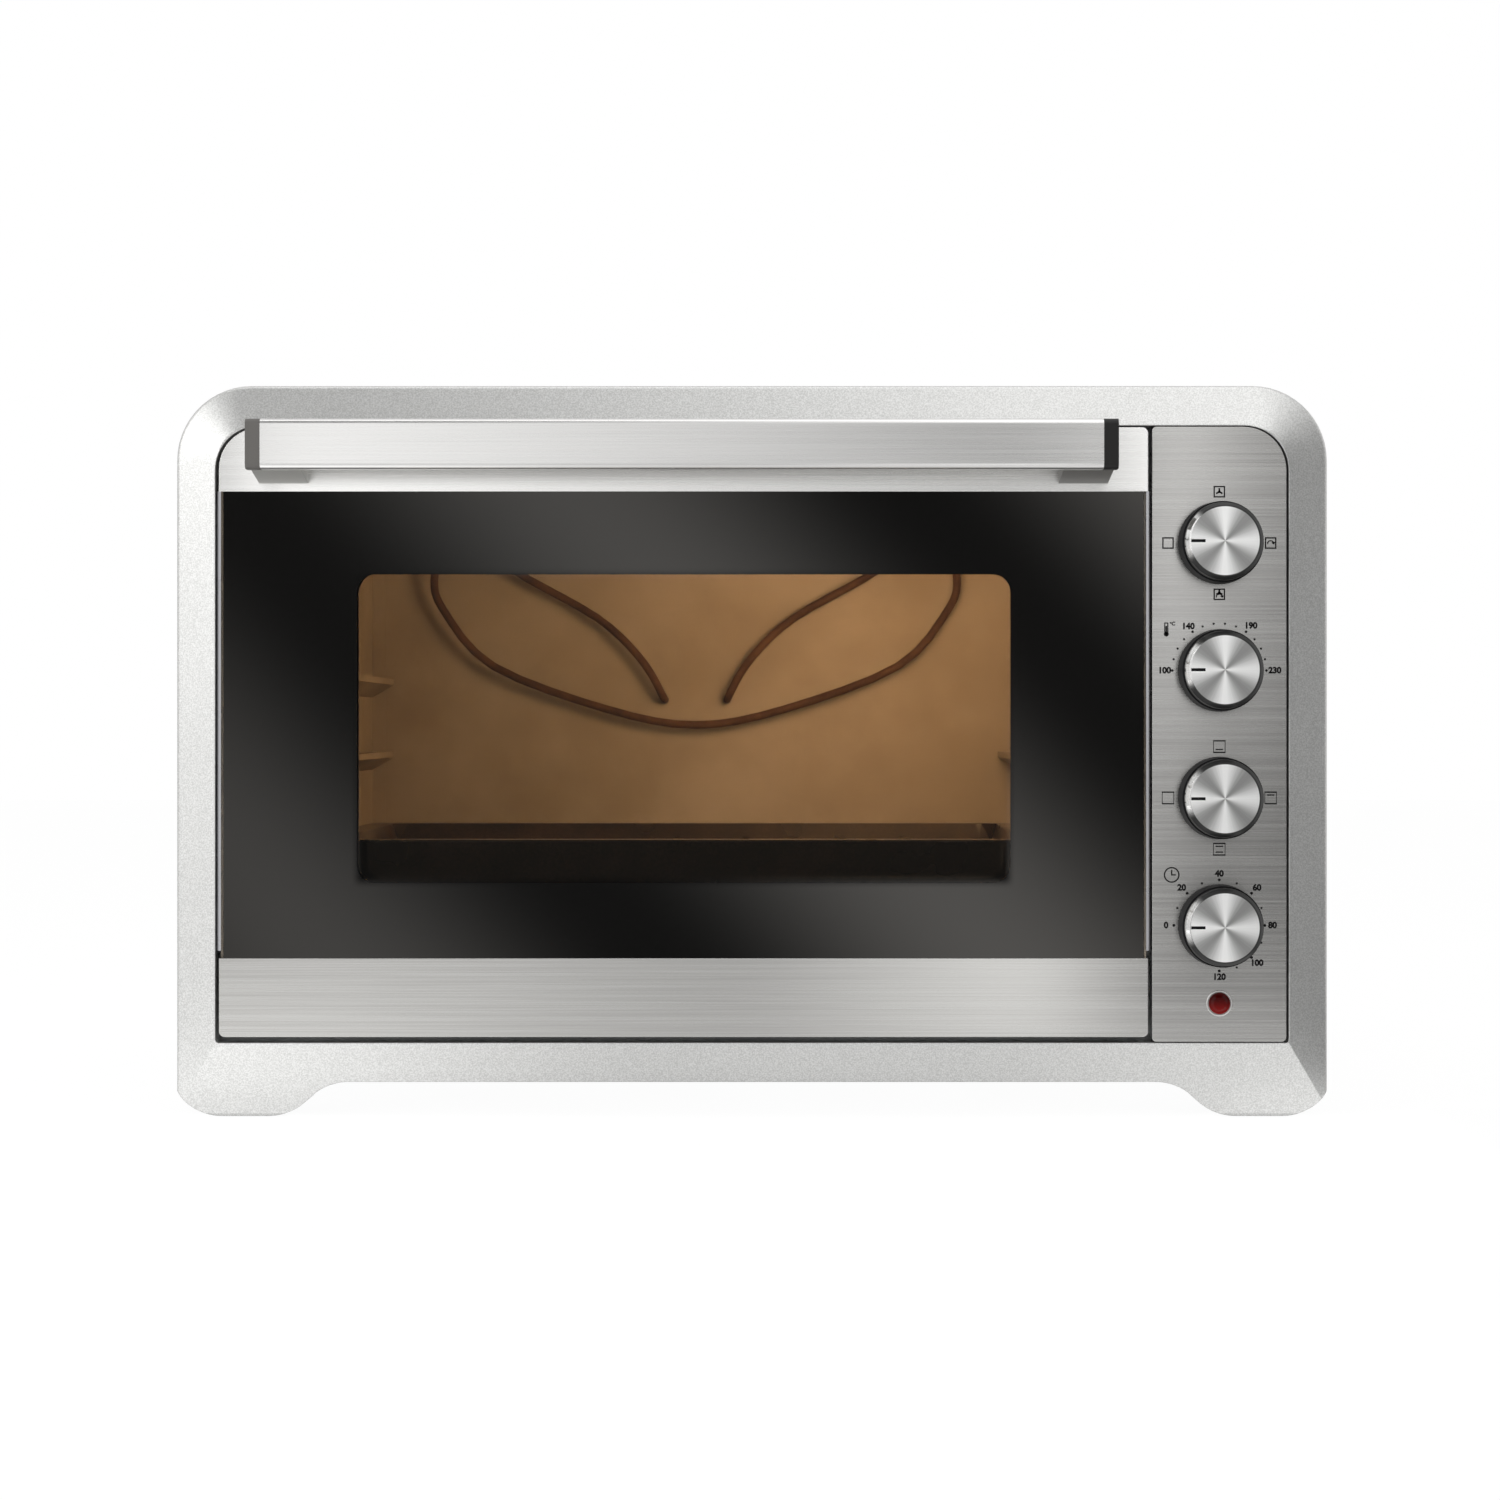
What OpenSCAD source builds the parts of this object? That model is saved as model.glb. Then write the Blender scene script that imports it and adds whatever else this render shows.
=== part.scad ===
// Electric countertop oven: drop-down glass door, bar handle, side control panel with four knobs.
// X runs to the right, Y to the back and Z up. The origin is on the counter, under the middle of the box.
// Pieces are drawn with Y counted back from the front plane, then moved by front_y.

/* [Cabinet] */
// Width over the front frame
frame_w = 600; // [570:1:660]
// Height from the counter to the top of the front frame
frame_h = 381.4; // [372:0.1:430]
// Depth from the front plane to the back panel's outer face
body_depth = 400; // [395:1:470]
// Gap between the counter and the underside of the front frame
foot_h = 18.8; // [15:0.1:24]
// How far the rubber pads stand below the frame's own feet
pad_proud = 0.5; // [0.2:0.1:1.5]
// Width of the sloped band at the frame's top and sides
band = 21.6; // [18:0.1:26]
// Height of the frame's band under the opening
band_low = 20.8; // [18:0.1:26]
// Outer radius of the frame's top corners
corner_r = 39; // [34:0.5:50]
// Radius of the opening's top corners
open_r = 23.5; // [16:0.1:28]
// Set-back of the frame's outer edge behind its inner edge
band_setback = 9; // [5:0.5:12]
// Set-back of the feet behind the opening's lower edge
foot_setback = 10; // [6:0.5:12]
// Radius of the rolled outer edge of the frame
edge_r = 2.6; // [2.2:0.1:4]
// Wall of the front frame
frame_wall = 1.8; // [1.2:0.1:2]
// Depth of the frame's skirt behind the front plane
skirt_depth = 38; // [35:0.5:46]
// Depth of the skirt round each front foot
foot_depth = 28; // [24:0.5:29]
// Length of the flat under each front foot
foot_flat = 24; // [16:0.5:36]
// Length of the curve from a front foot up to the frame's underside
foot_sweep = 43; // [34:0.5:60]
// Width of the curve at a foot's outer corner
foot_corner_run = 23.5; // [16:0.5:28]
// Height of the curve at a foot's outer corner
foot_corner_rise = 13.5; // [8:0.5:16]
// Thickness of the sheet metal
sheet = 0.7; // [0.6:0.1:1.2]
// Distance from the front plane to the plate behind the door
plate_y = 30; // [29.5:0.1:33]
// Diameter of each rear foot where it meets the counter
rear_foot_d = 28; // [20:1:40]

/* [Door] */
// Gap between the door and the frame at the top
door_gap = 1; // [0.8:0.1:2]
// Gap between the door and the frame at the left
door_gap_side = 2; // [1:0.1:3]
// Gap under the door
door_gap_low = 3.1; // [2.8:0.1:5]
// Gap between the door and the control panel
split_gap = 2.1; // [1.2:0.1:4]
// Thickness of the door from its face to the pan's back
door_depth = 28; // [24:0.1:28.6]
// Height of the brushed trim over the glass
top_trim_h = 33.2; // [30:0.1:44]
// Height of the brushed trim under the glass
bottom_trim_h = 40.7; // [36:0.1:52]
// Thickness of each glass pane
glass_t = 4; // [3:0.1:5]
// Width of the clear window
window_w = 339; // [280:1:360]
// Height of the clear window
window_h = 160; // [130:1:170]
// Radius of the window's corners
window_r = 9; // [4:0.5:16]
// Height of the window above the bottom trim
window_lift = 39.2; // [30:0.1:50]
// Distance of the hinge axis behind the door's face
hinge_y = 7; // [6.6:0.1:7.4]
// Height of the hinge axis above the door's lower edge
hinge_lift = 10.3; // [10:0.1:14]
// Diameter of the hinge pins
hinge_pin_d = 5; // [4:0.1:6]

/* [Handle] */
// Length of the handle over its end caps
handle_l = 442; // [360:1:460]
// Height of the handle bar
handle_h = 25.5; // [20:0.5:27]
// Depth of the handle bar
handle_t = 13; // [10:0.5:16]
// Distance from the door's face to the front of the handle
handle_reach = 40; // [34:0.5:44]
// Width of each plastic end cap
cap_w = 7.5; // [4:0.5:12]
// Width of each post behind the bar
post_w = 25.5; // [20:0.5:40]
// How far each post drops below the bar where it meets the door
post_drop = 4.4; // [0:0.1:6]

/* [Controls] */
// Width of the control panel
panel_w = 69.6; // [66:0.1:76]
// Gap between the control panel and the frame at the top and bottom
panel_gap = 0.7; // [0.5:0.1:1.5]
// Gap between the control panel and the frame at the right
panel_gap_side = 1.3; // [0.5:0.1:2]
// Depth of the panel's folded rim
panel_rim = 12; // [10:0.1:14]
// Distance between knob centres as a share of the panel's height
knob_share = 0.2073; // [0.195:0.0001:0.213]
// Diameter of a knob's metal cap
knob_d = 40.6; // [36:0.1:44]
// Height of a knob over the panel
knob_h = 20; // [17:0.1:26]
// Diameter of the flat face of a knob's cap
knob_face_d = 36.6; // [28:0.1:38]
// Diameter of the switch shafts
shaft_d = 6; // [5:0.1:6.5]
// Drop from the lowest knob to the indicator lamp as a share of the panel's height
lamp_share = 0.1267; // [0.115:0.0001:0.13]
// Diameter of the indicator lens
lens_d = 9.2; // [7:0.1:11]

/* [Cavity] */
// Distance from the door's side edges to the cooking space's side walls
cavity_side = 34.9; // [30:0.1:40]
// Distance from the door's top edge down to the cooking space's ceiling
ceiling_drop = 15.8; // [12:0.1:24]
// Space between the cooking space and the back of the cabinet
cavity_back = 29; // [27:0.5:60]
// Height of the cavity's floor above the door's lower edge
floor_lift = 24.3; // [22:0.1:28]
// How far the rack ledges stand into the cavity
ledge_out = 14; // [10:0.5:16]
// Height of a rack ledge's pressing
ledge_h = 12; // [9:0.5:14]
// Height of the lowest ledge as a share of the cooking space's height
ledge_low_share = 0.2717; // [0.25:0.0001:0.29]
// Distance between the rack ledges as a share of the cooking space's height
ledge_share = 0.1667; // [0.155:0.0001:0.175]
// Diameter of the heater tubes
heater_d = 7; // [5:0.1:8]
// Diameter of the rear heater's thinner tube
loop_d = 5; // [4:0.1:8]
// Distance from the heater rods to the ceiling and floor
heater_clear = 22; // [16:0.5:24]
// Depth of the baking tray over its rim
tray_d = 300; // [260:1:306]
// Height of the baking tray
tray_h = 31; // [20:0.5:32]
// Diameter of the fan
fan_d = 80; // [60:1:86]

/* [Clearances] */
// Gap between pieces that are fixed side by side
seat_gap = 0.2; // [0.1:0.05:0.3]
// Gap between pieces that move past each other
move_gap = 0.4; // [0.3:0.05:0.6]
// Radial clearance of shafts and pins that turn
run_gap = 0.05; // [0.02:0.01:0.09]

/* [Hidden] */
$fn = 48;
eps = 0.01;
gland_out = 5;
front_y = -(handle_reach + body_depth + gland_out) / 2 + handle_reach;

// Front frame
half_w = frame_w / 2;
open_x1 = half_w - band;
open_z0 = foot_h + band_low;
open_z1 = frame_h - band;
inner_r = corner_r - band;
corner_x = half_w - corner_r;
corner_z = frame_h - corner_r;
lap_rise = 0.6;
band_lap = 1.5 + max(open_r - inner_r, 0) * (sqrt(2) - 1);
band_angle = atan(band_setback / band);
lip_depth = 12;
low_corner_r = 2;
boss_r = 4;
foot_flat_x = half_w - foot_corner_run - foot_flat;
foot_rise = (foot_h - pad_proud) / 2;
sweep_r = (pow(foot_sweep / 2, 2) + pow(foot_rise, 2)) / (2 * foot_rise);
sweep_angle = asin(foot_sweep / 2 / sweep_r);
foot_corner_r = (pow(foot_corner_run, 2) + pow(foot_corner_rise, 2)) / (2 * foot_corner_rise);

// Sheet metal behind the frame
plate_back = plate_y + sheet;
shell_in = frame_wall + seat_gap;
shell_x1 = half_w - shell_in;
base_z = foot_h + frame_wall + seat_gap;
back_y = body_depth - sheet;
shield_side = 24;

// Control panel
panel_x1 = open_x1 - panel_gap_side;
panel_x0 = panel_x1 - panel_w;
panel_z0 = open_z0 + panel_gap;
panel_z1 = open_z1 - panel_gap;
panel_cx = (panel_x0 + panel_x1) / 2;
panel_cz = (panel_z0 + panel_z1) / 2;
panel_corner_r = open_r - panel_gap_side;
panel_sheet = 1.2;
bracket_back = panel_rim + panel_sheet;
bush_wall = 1.75;
bush_d = shaft_d + 2 * bush_wall;
knob_count = 4;
panel_h = panel_z1 - panel_z0;
knob_pitch = panel_h * knob_share;
lamp_drop = panel_h * lamp_share;
lens_z = knob_z(knob_count - 1) - lamp_drop;

// Door
door_x0 = -open_x1 + door_gap_side;
door_x1 = panel_x0 - split_gap;
door_z0 = open_z0 + door_gap_low;
door_z1 = open_z1 - door_gap;
door_cx = (door_x0 + door_x1) / 2;
door_corner_r = open_r - door_gap_side;
glass_z0 = door_z0 + bottom_trim_h;
glass_z1 = door_z1 - top_trim_h;
glass_lap = 8;
glass_y = sheet + seat_gap;
pan_y = glass_y + glass_t + seat_gap;
pan_in = sheet + seat_gap;
window_z0 = glass_z0 + window_lift;
window_z1 = window_z0 + window_h;
pane_lap = 14;
hinge_z = door_z0 + hinge_lift;
hinge_r = hinge_y - sheet - 1;
pan_z0 = hinge_z + hinge_y;
ear_t = 3;
ear_x = door_x0 + 8;
lug_x = ear_x + ear_t + move_gap;
coil_x = lug_x + ear_t + move_gap;
pin_r = hinge_pin_d / 2;
wire_r = 0.55;
coil_turns = 5;
coil_pitch = 1.6;
coil_r = pin_r + wire_r + 0.5;
coil_end = coil_x + 2 * wire_r + coil_turns * coil_pitch;

// Handle
handle_x0 = door_cx - handle_l / 2;
handle_z1 = door_z1 + 0.8;
handle_z0 = handle_z1 - handle_h;
handle_back = handle_t - handle_reach;
handle_r = 3;
handle_wall = 2;
screw_r = 2;

// Cavity
cav_x0 = door_x0 + cavity_side;
cav_x1 = door_x1 - cavity_side;
cav_y0 = plate_back;
cav_y1 = body_depth - cavity_back;
cav_z0 = door_z0 + floor_lift;
cav_z1 = door_z1 - ceiling_drop;
cavity_w = cav_x1 - cav_x0;
cavity_d = cav_y1 - cav_y0;
cavity_h = cav_z1 - cav_z0;
ledge_first = cavity_h * ledge_low_share;
ledge_pitch = cavity_h * ledge_share;
ledge_front = 9;
ledge_back = 5;
ledge_y0 = cav_y0 + ledge_front;
ledge_y1 = cav_y1 - ledge_back;
ledge_count = 3;
strip_w = 8;
heater_r = heater_d / 2;
loop_r = loop_d / 2;
heater_shares = [0.25, 0.72];
heater_ys = [for (s = heater_shares) cav_y0 + cavity_d * s];
heater_zs = [cav_z0 + heater_clear, cav_z1 - heater_clear];
shield_x = cav_x1 + sheet + shield_side;
insulator_l = 12;
spit_share = 0.45;
spit_y = cav_y0 + cavity_d * spit_share;
spit_z = ledge_z(1) + (ledge_pitch - ledge_h) / 2;
fan_inset = 72;
fan_lift = 8;
fan_y = cav_y1 - fan_inset;
fan_z = ledge_z(2) + fan_lift;
lamp_inset = 70;
lamp_below = 40;
lamp_y = cav_y0 + lamp_inset;
lamp_z = heater_zs[1] - lamp_below;
lamp_r = 21;
tray_side = 3.5;
tray_ledge_gap = 3;
tray_front = 10;
tray_w = cavity_w - 2 * tray_side;
tray_body_w = cavity_w - 2 * (ledge_out + tray_ledge_gap);
tray_y0 = cav_y0 + tray_front;
tray_z = ledge_z(0) + move_gap;
tray_rim = (tray_w - tray_body_w) / 2;
tray_t = 1.2;
loop_back = 12;

function knob_z(i) = panel_cz + (1.5 - i) * knob_pitch;
function ledge_z(i) = cav_z0 + ledge_first + i * ledge_pitch;

// Points of an arc about c, from angle a0 to a1
function arc(c, r, a0, a1, n = 12) =
    [for (i = [0:n]) let (a = a0 + (a1 - a0) * i / n) [c[0] + r * cos(a), c[1] + r * sin(a)]];
function corner(c, r, a0) = r > 0 ? arc(c, r, a0, a0 + 90) : [c];
// Rectangle with its own radius at the lower left, lower right, upper right and upper left corner
function rounded(x0, z0, x1, z1, r) = concat(
    corner([x0 + r[0], z0 + r[0]], r[0], 180),
    corner([x1 - r[1], z0 + r[1]], r[1], 270),
    corner([x1 - r[2], z1 - r[2]], r[2], 0),
    corner([x0 + r[3], z1 - r[3]], r[3], 90));
function flip(points) = [for (i = [len(points) - 1:-1:0]) [-points[i][0], points[i][1]]];

// Shared moves
module placed() translate([0, front_y, 0]) children();
module slab(y0, y1) translate([0, y1, 0]) rotate([90, 0, 0]) linear_extrude(height = y1 - y0) children();
module bar(x0, x1) translate([x0, 0, 0]) rotate([90, 0, 90]) linear_extrude(height = x1 - x0) children();
module xcyl(x0, x1, y, z, r) translate([x0, y, z]) rotate([0, 90, 0]) cylinder(h = x1 - x0, r = r);
module ycyl(y0, y1, x, z, r) translate([x, y1, z]) rotate([90, 0, 0]) cylinder(h = y1 - y0, r = r);
module zcyl(z0, z1, x, y, r) translate([x, y, z0]) cylinder(h = z1 - z0, r = r);
module box(x0, x1, y0, y1, z0, z1) translate([x0, y0, z0]) cube([x1 - x0, y1 - y0, z1 - z0]);
module both_sides() {
    children();
    mirror([1, 0, 0]) children();
}
module door_sides() {
    children();
    translate([2 * door_cx, 0, 0]) mirror([1, 0, 0]) children();
}

// Front frame: a sloped band with rounded top corners and two feet in its lower edge

// Section of the band: the rolled edge and the skirt, counted out from the opening and back from the front
function band_edge(i) = let (
        r = max(edge_r - i, 0.3),
        u = band - i - r,
        c = [u, (r + u * sin(band_angle)) / cos(band_angle)])
    concat(arc(c, r, band_angle - 90, 0, 6), [[band - i, skirt_depth]]);
function band_profile(i) = concat(
    [[-band_lap, -lap_rise], [-lap_rise / tan(band_angle), -lap_rise]], band_edge(i), [[-band_lap, skirt_depth]]);
function frame_plan(i) = let (right = [for (p = concat([[0, 0]], band_edge(i))) [open_x1 + p[0], p[1]]])
    concat(right, flip(right));
function low_profile(i) = let (
        z = pad_proud + i,
        top = open_z0 + band_lap)
    [[0, top], [0, open_z0], [foot_setback * (open_z0 - z) / open_z0, z], [skirt_depth, z], [skirt_depth, top]];
function notch_outline(i) = let (right = concat(
        [[foot_flat_x, -1]],
        arc([foot_flat_x, pad_proud + sweep_r], sweep_r - i, -90, -90 - sweep_angle),
        arc([foot_flat_x - foot_sweep, foot_h - sweep_r], sweep_r + i, 90 - sweep_angle, 90)))
    concat(right, flip(right));
function foot_corner_outline(i) = let (
        c = [half_w - foot_corner_run, pad_proud + foot_corner_r],
        r = foot_corner_r - i,
        a = -acos((foot_corner_run - i) / r))
    concat([[c[0], -1], [half_w + 1, -1], [half_w + 1, c[1] + r * sin(a)]], arc(c, r, a, -90));
function opening_outline(e) = rounded(
    -open_x1 - e, open_z0 - e, open_x1 + e, open_z1 + e,
    [low_corner_r + e, low_corner_r + e, open_r + e, open_r + e]);

module frame_block(i) {
    both_sides() {
        translate([0, 0, open_z0]) linear_extrude(height = corner_z - open_z0)
            polygon([for (p = band_profile(i)) [open_x1 + p[0], p[1]]]);
        translate([corner_x, 0, corner_z]) rotate([-90, 0, 0]) rotate([0, 0, -90])
            rotate_extrude(angle = 90) polygon([for (p = band_profile(i)) [inner_r + p[0], p[1]]]);
    }
    bar(-corner_x, corner_x) polygon([for (p = band_profile(i)) [p[1], open_z1 + p[0]]]);
    difference() {
        intersection() {
            linear_extrude(height = open_z0 + band_lap) polygon(frame_plan(i));
            bar(-half_w, half_w) polygon(low_profile(i));
        }
        slab(-1, skirt_depth + 1) polygon(notch_outline(i));
        both_sides() slab(-1, skirt_depth + 1) polygon(foot_corner_outline(i));
    }
}
boss_inset = 70;
module frame_bosses() {
    both_sides() for (z = [open_z0 + boss_inset, corner_z - boss_inset])
        ycyl(-1, plate_y, half_w - band / 2, z, boss_r);
    for (x = [-corner_x * 0.7, 0, corner_x * 0.7]) {
        ycyl(-1, plate_y, x, frame_h - band / 2, boss_r);
        ycyl(-1, plate_y, x, foot_h + band_low / 2, boss_r);
    }
}
module front_frame() color("silver") placed() difference() {
    frame_block(0);
    difference() {
        translate([0, frame_wall, 0]) frame_block(frame_wall);
        slab(-1, lip_depth) polygon(opening_outline(frame_wall));
        frame_bosses();
    }
    slab(-1, skirt_depth + 1) polygon(opening_outline(0));
    box(-half_w, half_w, foot_depth, skirt_depth + 1, 0, foot_h);
}

// Casing

function case_outline(e) = rounded(
    -half_w + e, base_z, half_w - e, frame_h - e, [0, 0, corner_r - e, corner_r - e]);
function slot(y, z, l, h) = let (r = h / 2, e = l / 2 - r)
    concat(arc([y + e, z], r, -90, 90, 4), arc([y - e, z], r, 90, 270, 4));
vent_l = 34;
vent_h = 4;
vent_step = 14;

module outer_shell() color("gainsboro") placed() difference() {
    slab(plate_back, body_depth) difference() {
        polygon(case_outline(shell_in));
        translate([0, -sheet]) polygon(rounded(
            -shell_x1 + sheet, base_z, shell_x1 - sheet, frame_h - shell_in,
            [0, 0, corner_r - shell_in - sheet, corner_r - shell_in - sheet]));
    }
    for (col = [0:1], row = [0:9])
        bar(shell_x1 - 2 * sheet, shell_x1 + 1)
            polygon(slot(fan_y - 40 + col * (vent_l + 10), base_z + 130 + row * vent_step, vent_l, vent_h));
}
module back_panel() color("lightgrey") placed() difference() {
    slab(back_y, body_depth) difference() {
        polygon(case_outline(shell_in + sheet + seat_gap));
        for (col = [-3:3], row = [0:3])
            polygon(slot(col * (vent_l + 12), frame_h - 70 - row * vent_step, vent_l, vent_h));
        for (col = [-3:2], row = [0:1])
            polygon(slot((col + 0.5) * (vent_l + 12), base_z + 30 + row * vent_step, vent_l, vent_h));
    }
    ycyl(back_y - 1, body_depth + 1, gland_x, gland_z, gland_r + seat_gap);
    for (p = case_screws) ycyl(back_y - 1, body_depth + 1, p[0], p[1], screw_r);
}
module base_plate() color("lightgrey") placed() difference() {
    box(-shell_x1 + sheet, shell_x1 - sheet, plate_back, back_y, base_z, base_z + sheet);
    for (x = [-150, -50, 50, 150], y = [90:vent_step:146])
        translate([0, 0, base_z - 1]) linear_extrude(height = 2 * sheet + 2) polygon(slot(x, y, 60, vent_h));
}
module front_plate() color("lightgrey") placed() slab(plate_y, plate_back) difference() {
    polygon(case_outline(shell_in));
    polygon(rounded(cav_x0, cav_z0, cav_x1, cav_z1, [4, 4, 4, 4]));
    polygon(rounded(panel_x0 + 7, panel_z0 + 16, panel_x1 - 7, panel_z1 - 24, [4, 4, 4, 4]));
    for (x = [ear_x, 2 * door_cx - ear_x - ear_t])
        translate([x - seat_gap, hinge_z - hinge_r - seat_gap])
            square([ear_t + 2 * seat_gap, 2 * hinge_r + 2 * seat_gap]);
}
gland_r = 9;
gland_inset = 60;
gland_lift = 45;
gland_x = shell_x1 - gland_inset;
gland_z = base_z + gland_lift;
cord_r = 4;
module cord_gland() color("black") placed() difference() {
    union() {
        ycyl(body_depth, body_depth + gland_out, gland_x, gland_z, gland_r + 4);
        ycyl(back_y - 8, body_depth + eps, gland_x, gland_z, gland_r);
        ycyl(back_y - 8, back_y, gland_x, gland_z, gland_r + 2);
    }
    ycyl(back_y - 9, body_depth + gland_out + 1, gland_x, gland_z, cord_r);
}
case_screw_top = 24;
case_screw_low = 12;
case_screw_side = 14;
case_screws = concat(
    [for (x = [-0.8, 0, 0.8]) [x * shell_x1, frame_h - case_screw_top]],
    [for (x = [-0.8, 0, 0.8]) [x * shell_x1, base_z + case_screw_low]],
    [for (s = [-1, 1], z = [0.35, 0.65]) [s * (shell_x1 - case_screw_side), frame_h * z]]);
module casing_screws() color("dimgray") placed() for (p = case_screws) {
    ycyl(body_depth, body_depth + 2, p[0], p[1], 2 * screw_r);
    ycyl(back_y - 6, body_depth + eps, p[0], p[1], screw_r - seat_gap / 2);
}
rear_foot_inset_y = 40;
rear_foot_inset_x = 60;
rear_foot_y = back_y - rear_foot_inset_y;
rear_foot_x = half_w - rear_foot_inset_x;
module rear_feet() color("black") placed() both_sides() translate([rear_foot_x, rear_foot_y, 0]) difference() {
    cylinder(h = base_z, d1 = rear_foot_d, d2 = rear_foot_d + 5);
    translate([0, 0, -1]) cylinder(h = 4, r = rear_foot_d / 4);
}
pad_r = 9;
module front_foot_pads() color("black") placed() both_sides()
    zcyl(0, base_z, half_w - foot_corner_run - foot_flat / 2, plate_back + pad_r + 1, pad_r);

// Cooking space

function heater_points() = [for (y = heater_ys, z = heater_zs) [y, z]];
module ledges(y1s, grow, x0) for (i = [0:ledge_count - 1]) let (z = ledge_z(i))
    slab(ledge_y0 - grow, y1s[i] + grow) polygon([
        [x0, z - ledge_h - grow], [ledge_out + grow, z - ledge_h * 0.3], [ledge_out + grow, z + grow],
        [x0, z + grow]]);
// One side wall, drawn with its inner face on x = 0 and the cavity on the +x side
module side_wall(y1s) {
    difference() {
        union() {
            box(-sheet, 0, cav_y0, cav_y1, cav_z0 - sheet, cav_z1 + sheet);
            ledges(y1s, 0, -sheet);
            box(0, strip_w, cav_y1 - sheet, cav_y1, cav_z0, cav_z1);
        }
        ledges(y1s, -sheet, -sheet - 1);
        for (p = heater_points()) xcyl(-sheet - 1, 1, p[0], p[1], heater_r + seat_gap);
        children();
    }
}
full_ledges = [for (i = [0:ledge_count - 1]) ledge_y1];
short_ledges = [ledge_y1, ledge_y1, fan_y - fan_d / 2 - 6];
module cavity_left_wall() color("tan") placed() translate([cav_x0, 0, 0]) side_wall(full_ledges);
module cavity_right_wall() color("tan") placed() translate([cav_x1, 0, 0]) mirror([1, 0, 0])
    side_wall(short_ledges) {
        for (ring = [0:3], k = [0:max(6 * ring - 1, 0)]) let (a = k * 60 / max(ring, 1))
            xcyl(-sheet - 1, 1, fan_y + 11 * ring * cos(a), fan_z + 11 * ring * sin(a), 3);
        xcyl(-sheet - 1, 1, lamp_y, lamp_z, lamp_r + seat_gap);
        xcyl(-sheet - 1, 1, spit_y, spit_z, spit_shaft_r + run_gap);
    }
module cavity_ceiling() color("tan") placed()
    box(cav_x0, cav_x1, cav_y0, cav_y1, cav_z1, cav_z1 + sheet);
module cavity_floor() color("tan") placed()
    box(cav_x0, cav_x1, cav_y0, cav_y1, cav_z0 - sheet, cav_z0);
module cavity_back_wall() color("tan") placed() difference() {
    box(cav_x0 - sheet, cav_x1 + sheet, cav_y1, cav_y1 + sheet, cav_z0 - sheet, cav_z1 + sheet);
    for (s = [-1, 1]) ycyl(cav_y1 - 1, cav_y1 + sheet + 1, door_cx + s * loop_exit[0], cav_z0 + loop_exit[1],
        loop_r + seat_gap);
}
module heat_shield() color("lightgrey") placed() difference() {
    box(shield_x, shield_x + sheet, cav_y0 + 14, back_y, base_z + sheet, frame_h - shell_in - sheet - seat_gap);
    xcyl(shield_x - 1, shield_x + sheet + 1, fan_y, fan_z, fan_shaft_r + 1);
    xcyl(shield_x - 1, shield_x + sheet + 1, spit_y, spit_z, spit_shaft_r + 1);
}

// Heaters

module heater_rods() color("dimgray") placed() for (p = heater_points())
    xcyl(cav_x0 - sheet - insulator_l - 6, cav_x1 + sheet + insulator_l + 6, p[0], p[1], heater_r);
module heater_insulators() color("white") placed() for (p = heater_points(), s = [0, 1])
    translate([s ? cav_x1 + sheet : cav_x0 - sheet, 0, 0]) mirror([1 - s, 0, 0]) difference() {
        union() {
            xcyl(0, 3, p[0], p[1], heater_r + 4);
            xcyl(0, insulator_l, p[0], p[1], heater_r + 2);
        }
        xcyl(-1, insulator_l + 1, p[0], p[1], heater_r + run_gap);
    }

// Tube swept along a path of points that starts along Y, its rings carried on without twist
function unit(v) = v / norm(v);
function heading(p, i) = unit(p[min(i + 1, len(p) - 1)] - p[max(i - 1, 0)]);
function carried(p, i, side) = i == len(p) ? [] : let (t = heading(p, i), n = unit(side - (side * t) * t))
    concat([n], carried(p, i + 1, n));
module swept(p, r, sides) {
    n = len(p);
    across = carried(p, 0, [1, 0, 0]);
    points = [for (i = [0:n - 1]) let (up = cross(heading(p, i), across[i])) for (k = [0:sides - 1])
        p[i] + r * (cos(k * 360 / sides) * across[i] + sin(k * 360 / sides) * up)];
    ends = [[for (k = [0:sides - 1]) k], [for (k = [sides - 1:-1:0]) (n - 1) * sides + k]];
    walls = [for (i = [0:n - 2], k = [0:sides - 1]) let (m = (k + 1) % sides)
        each [[i * sides + k, (i + 1) * sides + k, (i + 1) * sides + m],
            [i * sides + k, (i + 1) * sides + m, i * sides + m]]];
    polyhedron(points = points, faces = concat(ends, walls));
}
// The rear heater comes in through the back wall, runs up and out in a leaf shape and mirrors at the middle.
// The leaf is a smooth curve through points given as shares of the cooking space's height, from its floor
leaf = [[-0.085, 0.55], [-0.085, 0.585], [-0.135, 0.662], [-0.225, 0.745], [-0.385, 0.835], [-0.5, 0.905],
    [-0.578, 0.9], [-0.6, 0.835], [-0.58, 0.765], [-0.465, 0.635], [-0.2, 0.535], [0, 0.5], [0.2, 0.535]];
leaf_steps = 4;
elbow_r = 8;
function bend(a, b, c, d, t) = (2 * b + (c - a) * t + (2 * a - 5 * b + 4 * c - d) * pow(t, 2)
    + (3 * b - a - 3 * c + d) * pow(t, 3)) / 2;
function leaf_point(i, t) = cavity_h * bend(leaf[i - 1], leaf[i], leaf[i + 1], leaf[i + 2], t);
leaf_flat = concat([for (i = [1:len(leaf) - 3], k = [0:leaf_steps - 1]) leaf_point(i, k / leaf_steps)],
    [cavity_h * leaf[len(leaf) - 2]]);
leaf_start = leaf_flat[0];
leaf_in = unit(leaf_flat[1] - leaf_flat[0]);
loop_exit = leaf_start - elbow_r * leaf_in;
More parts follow.
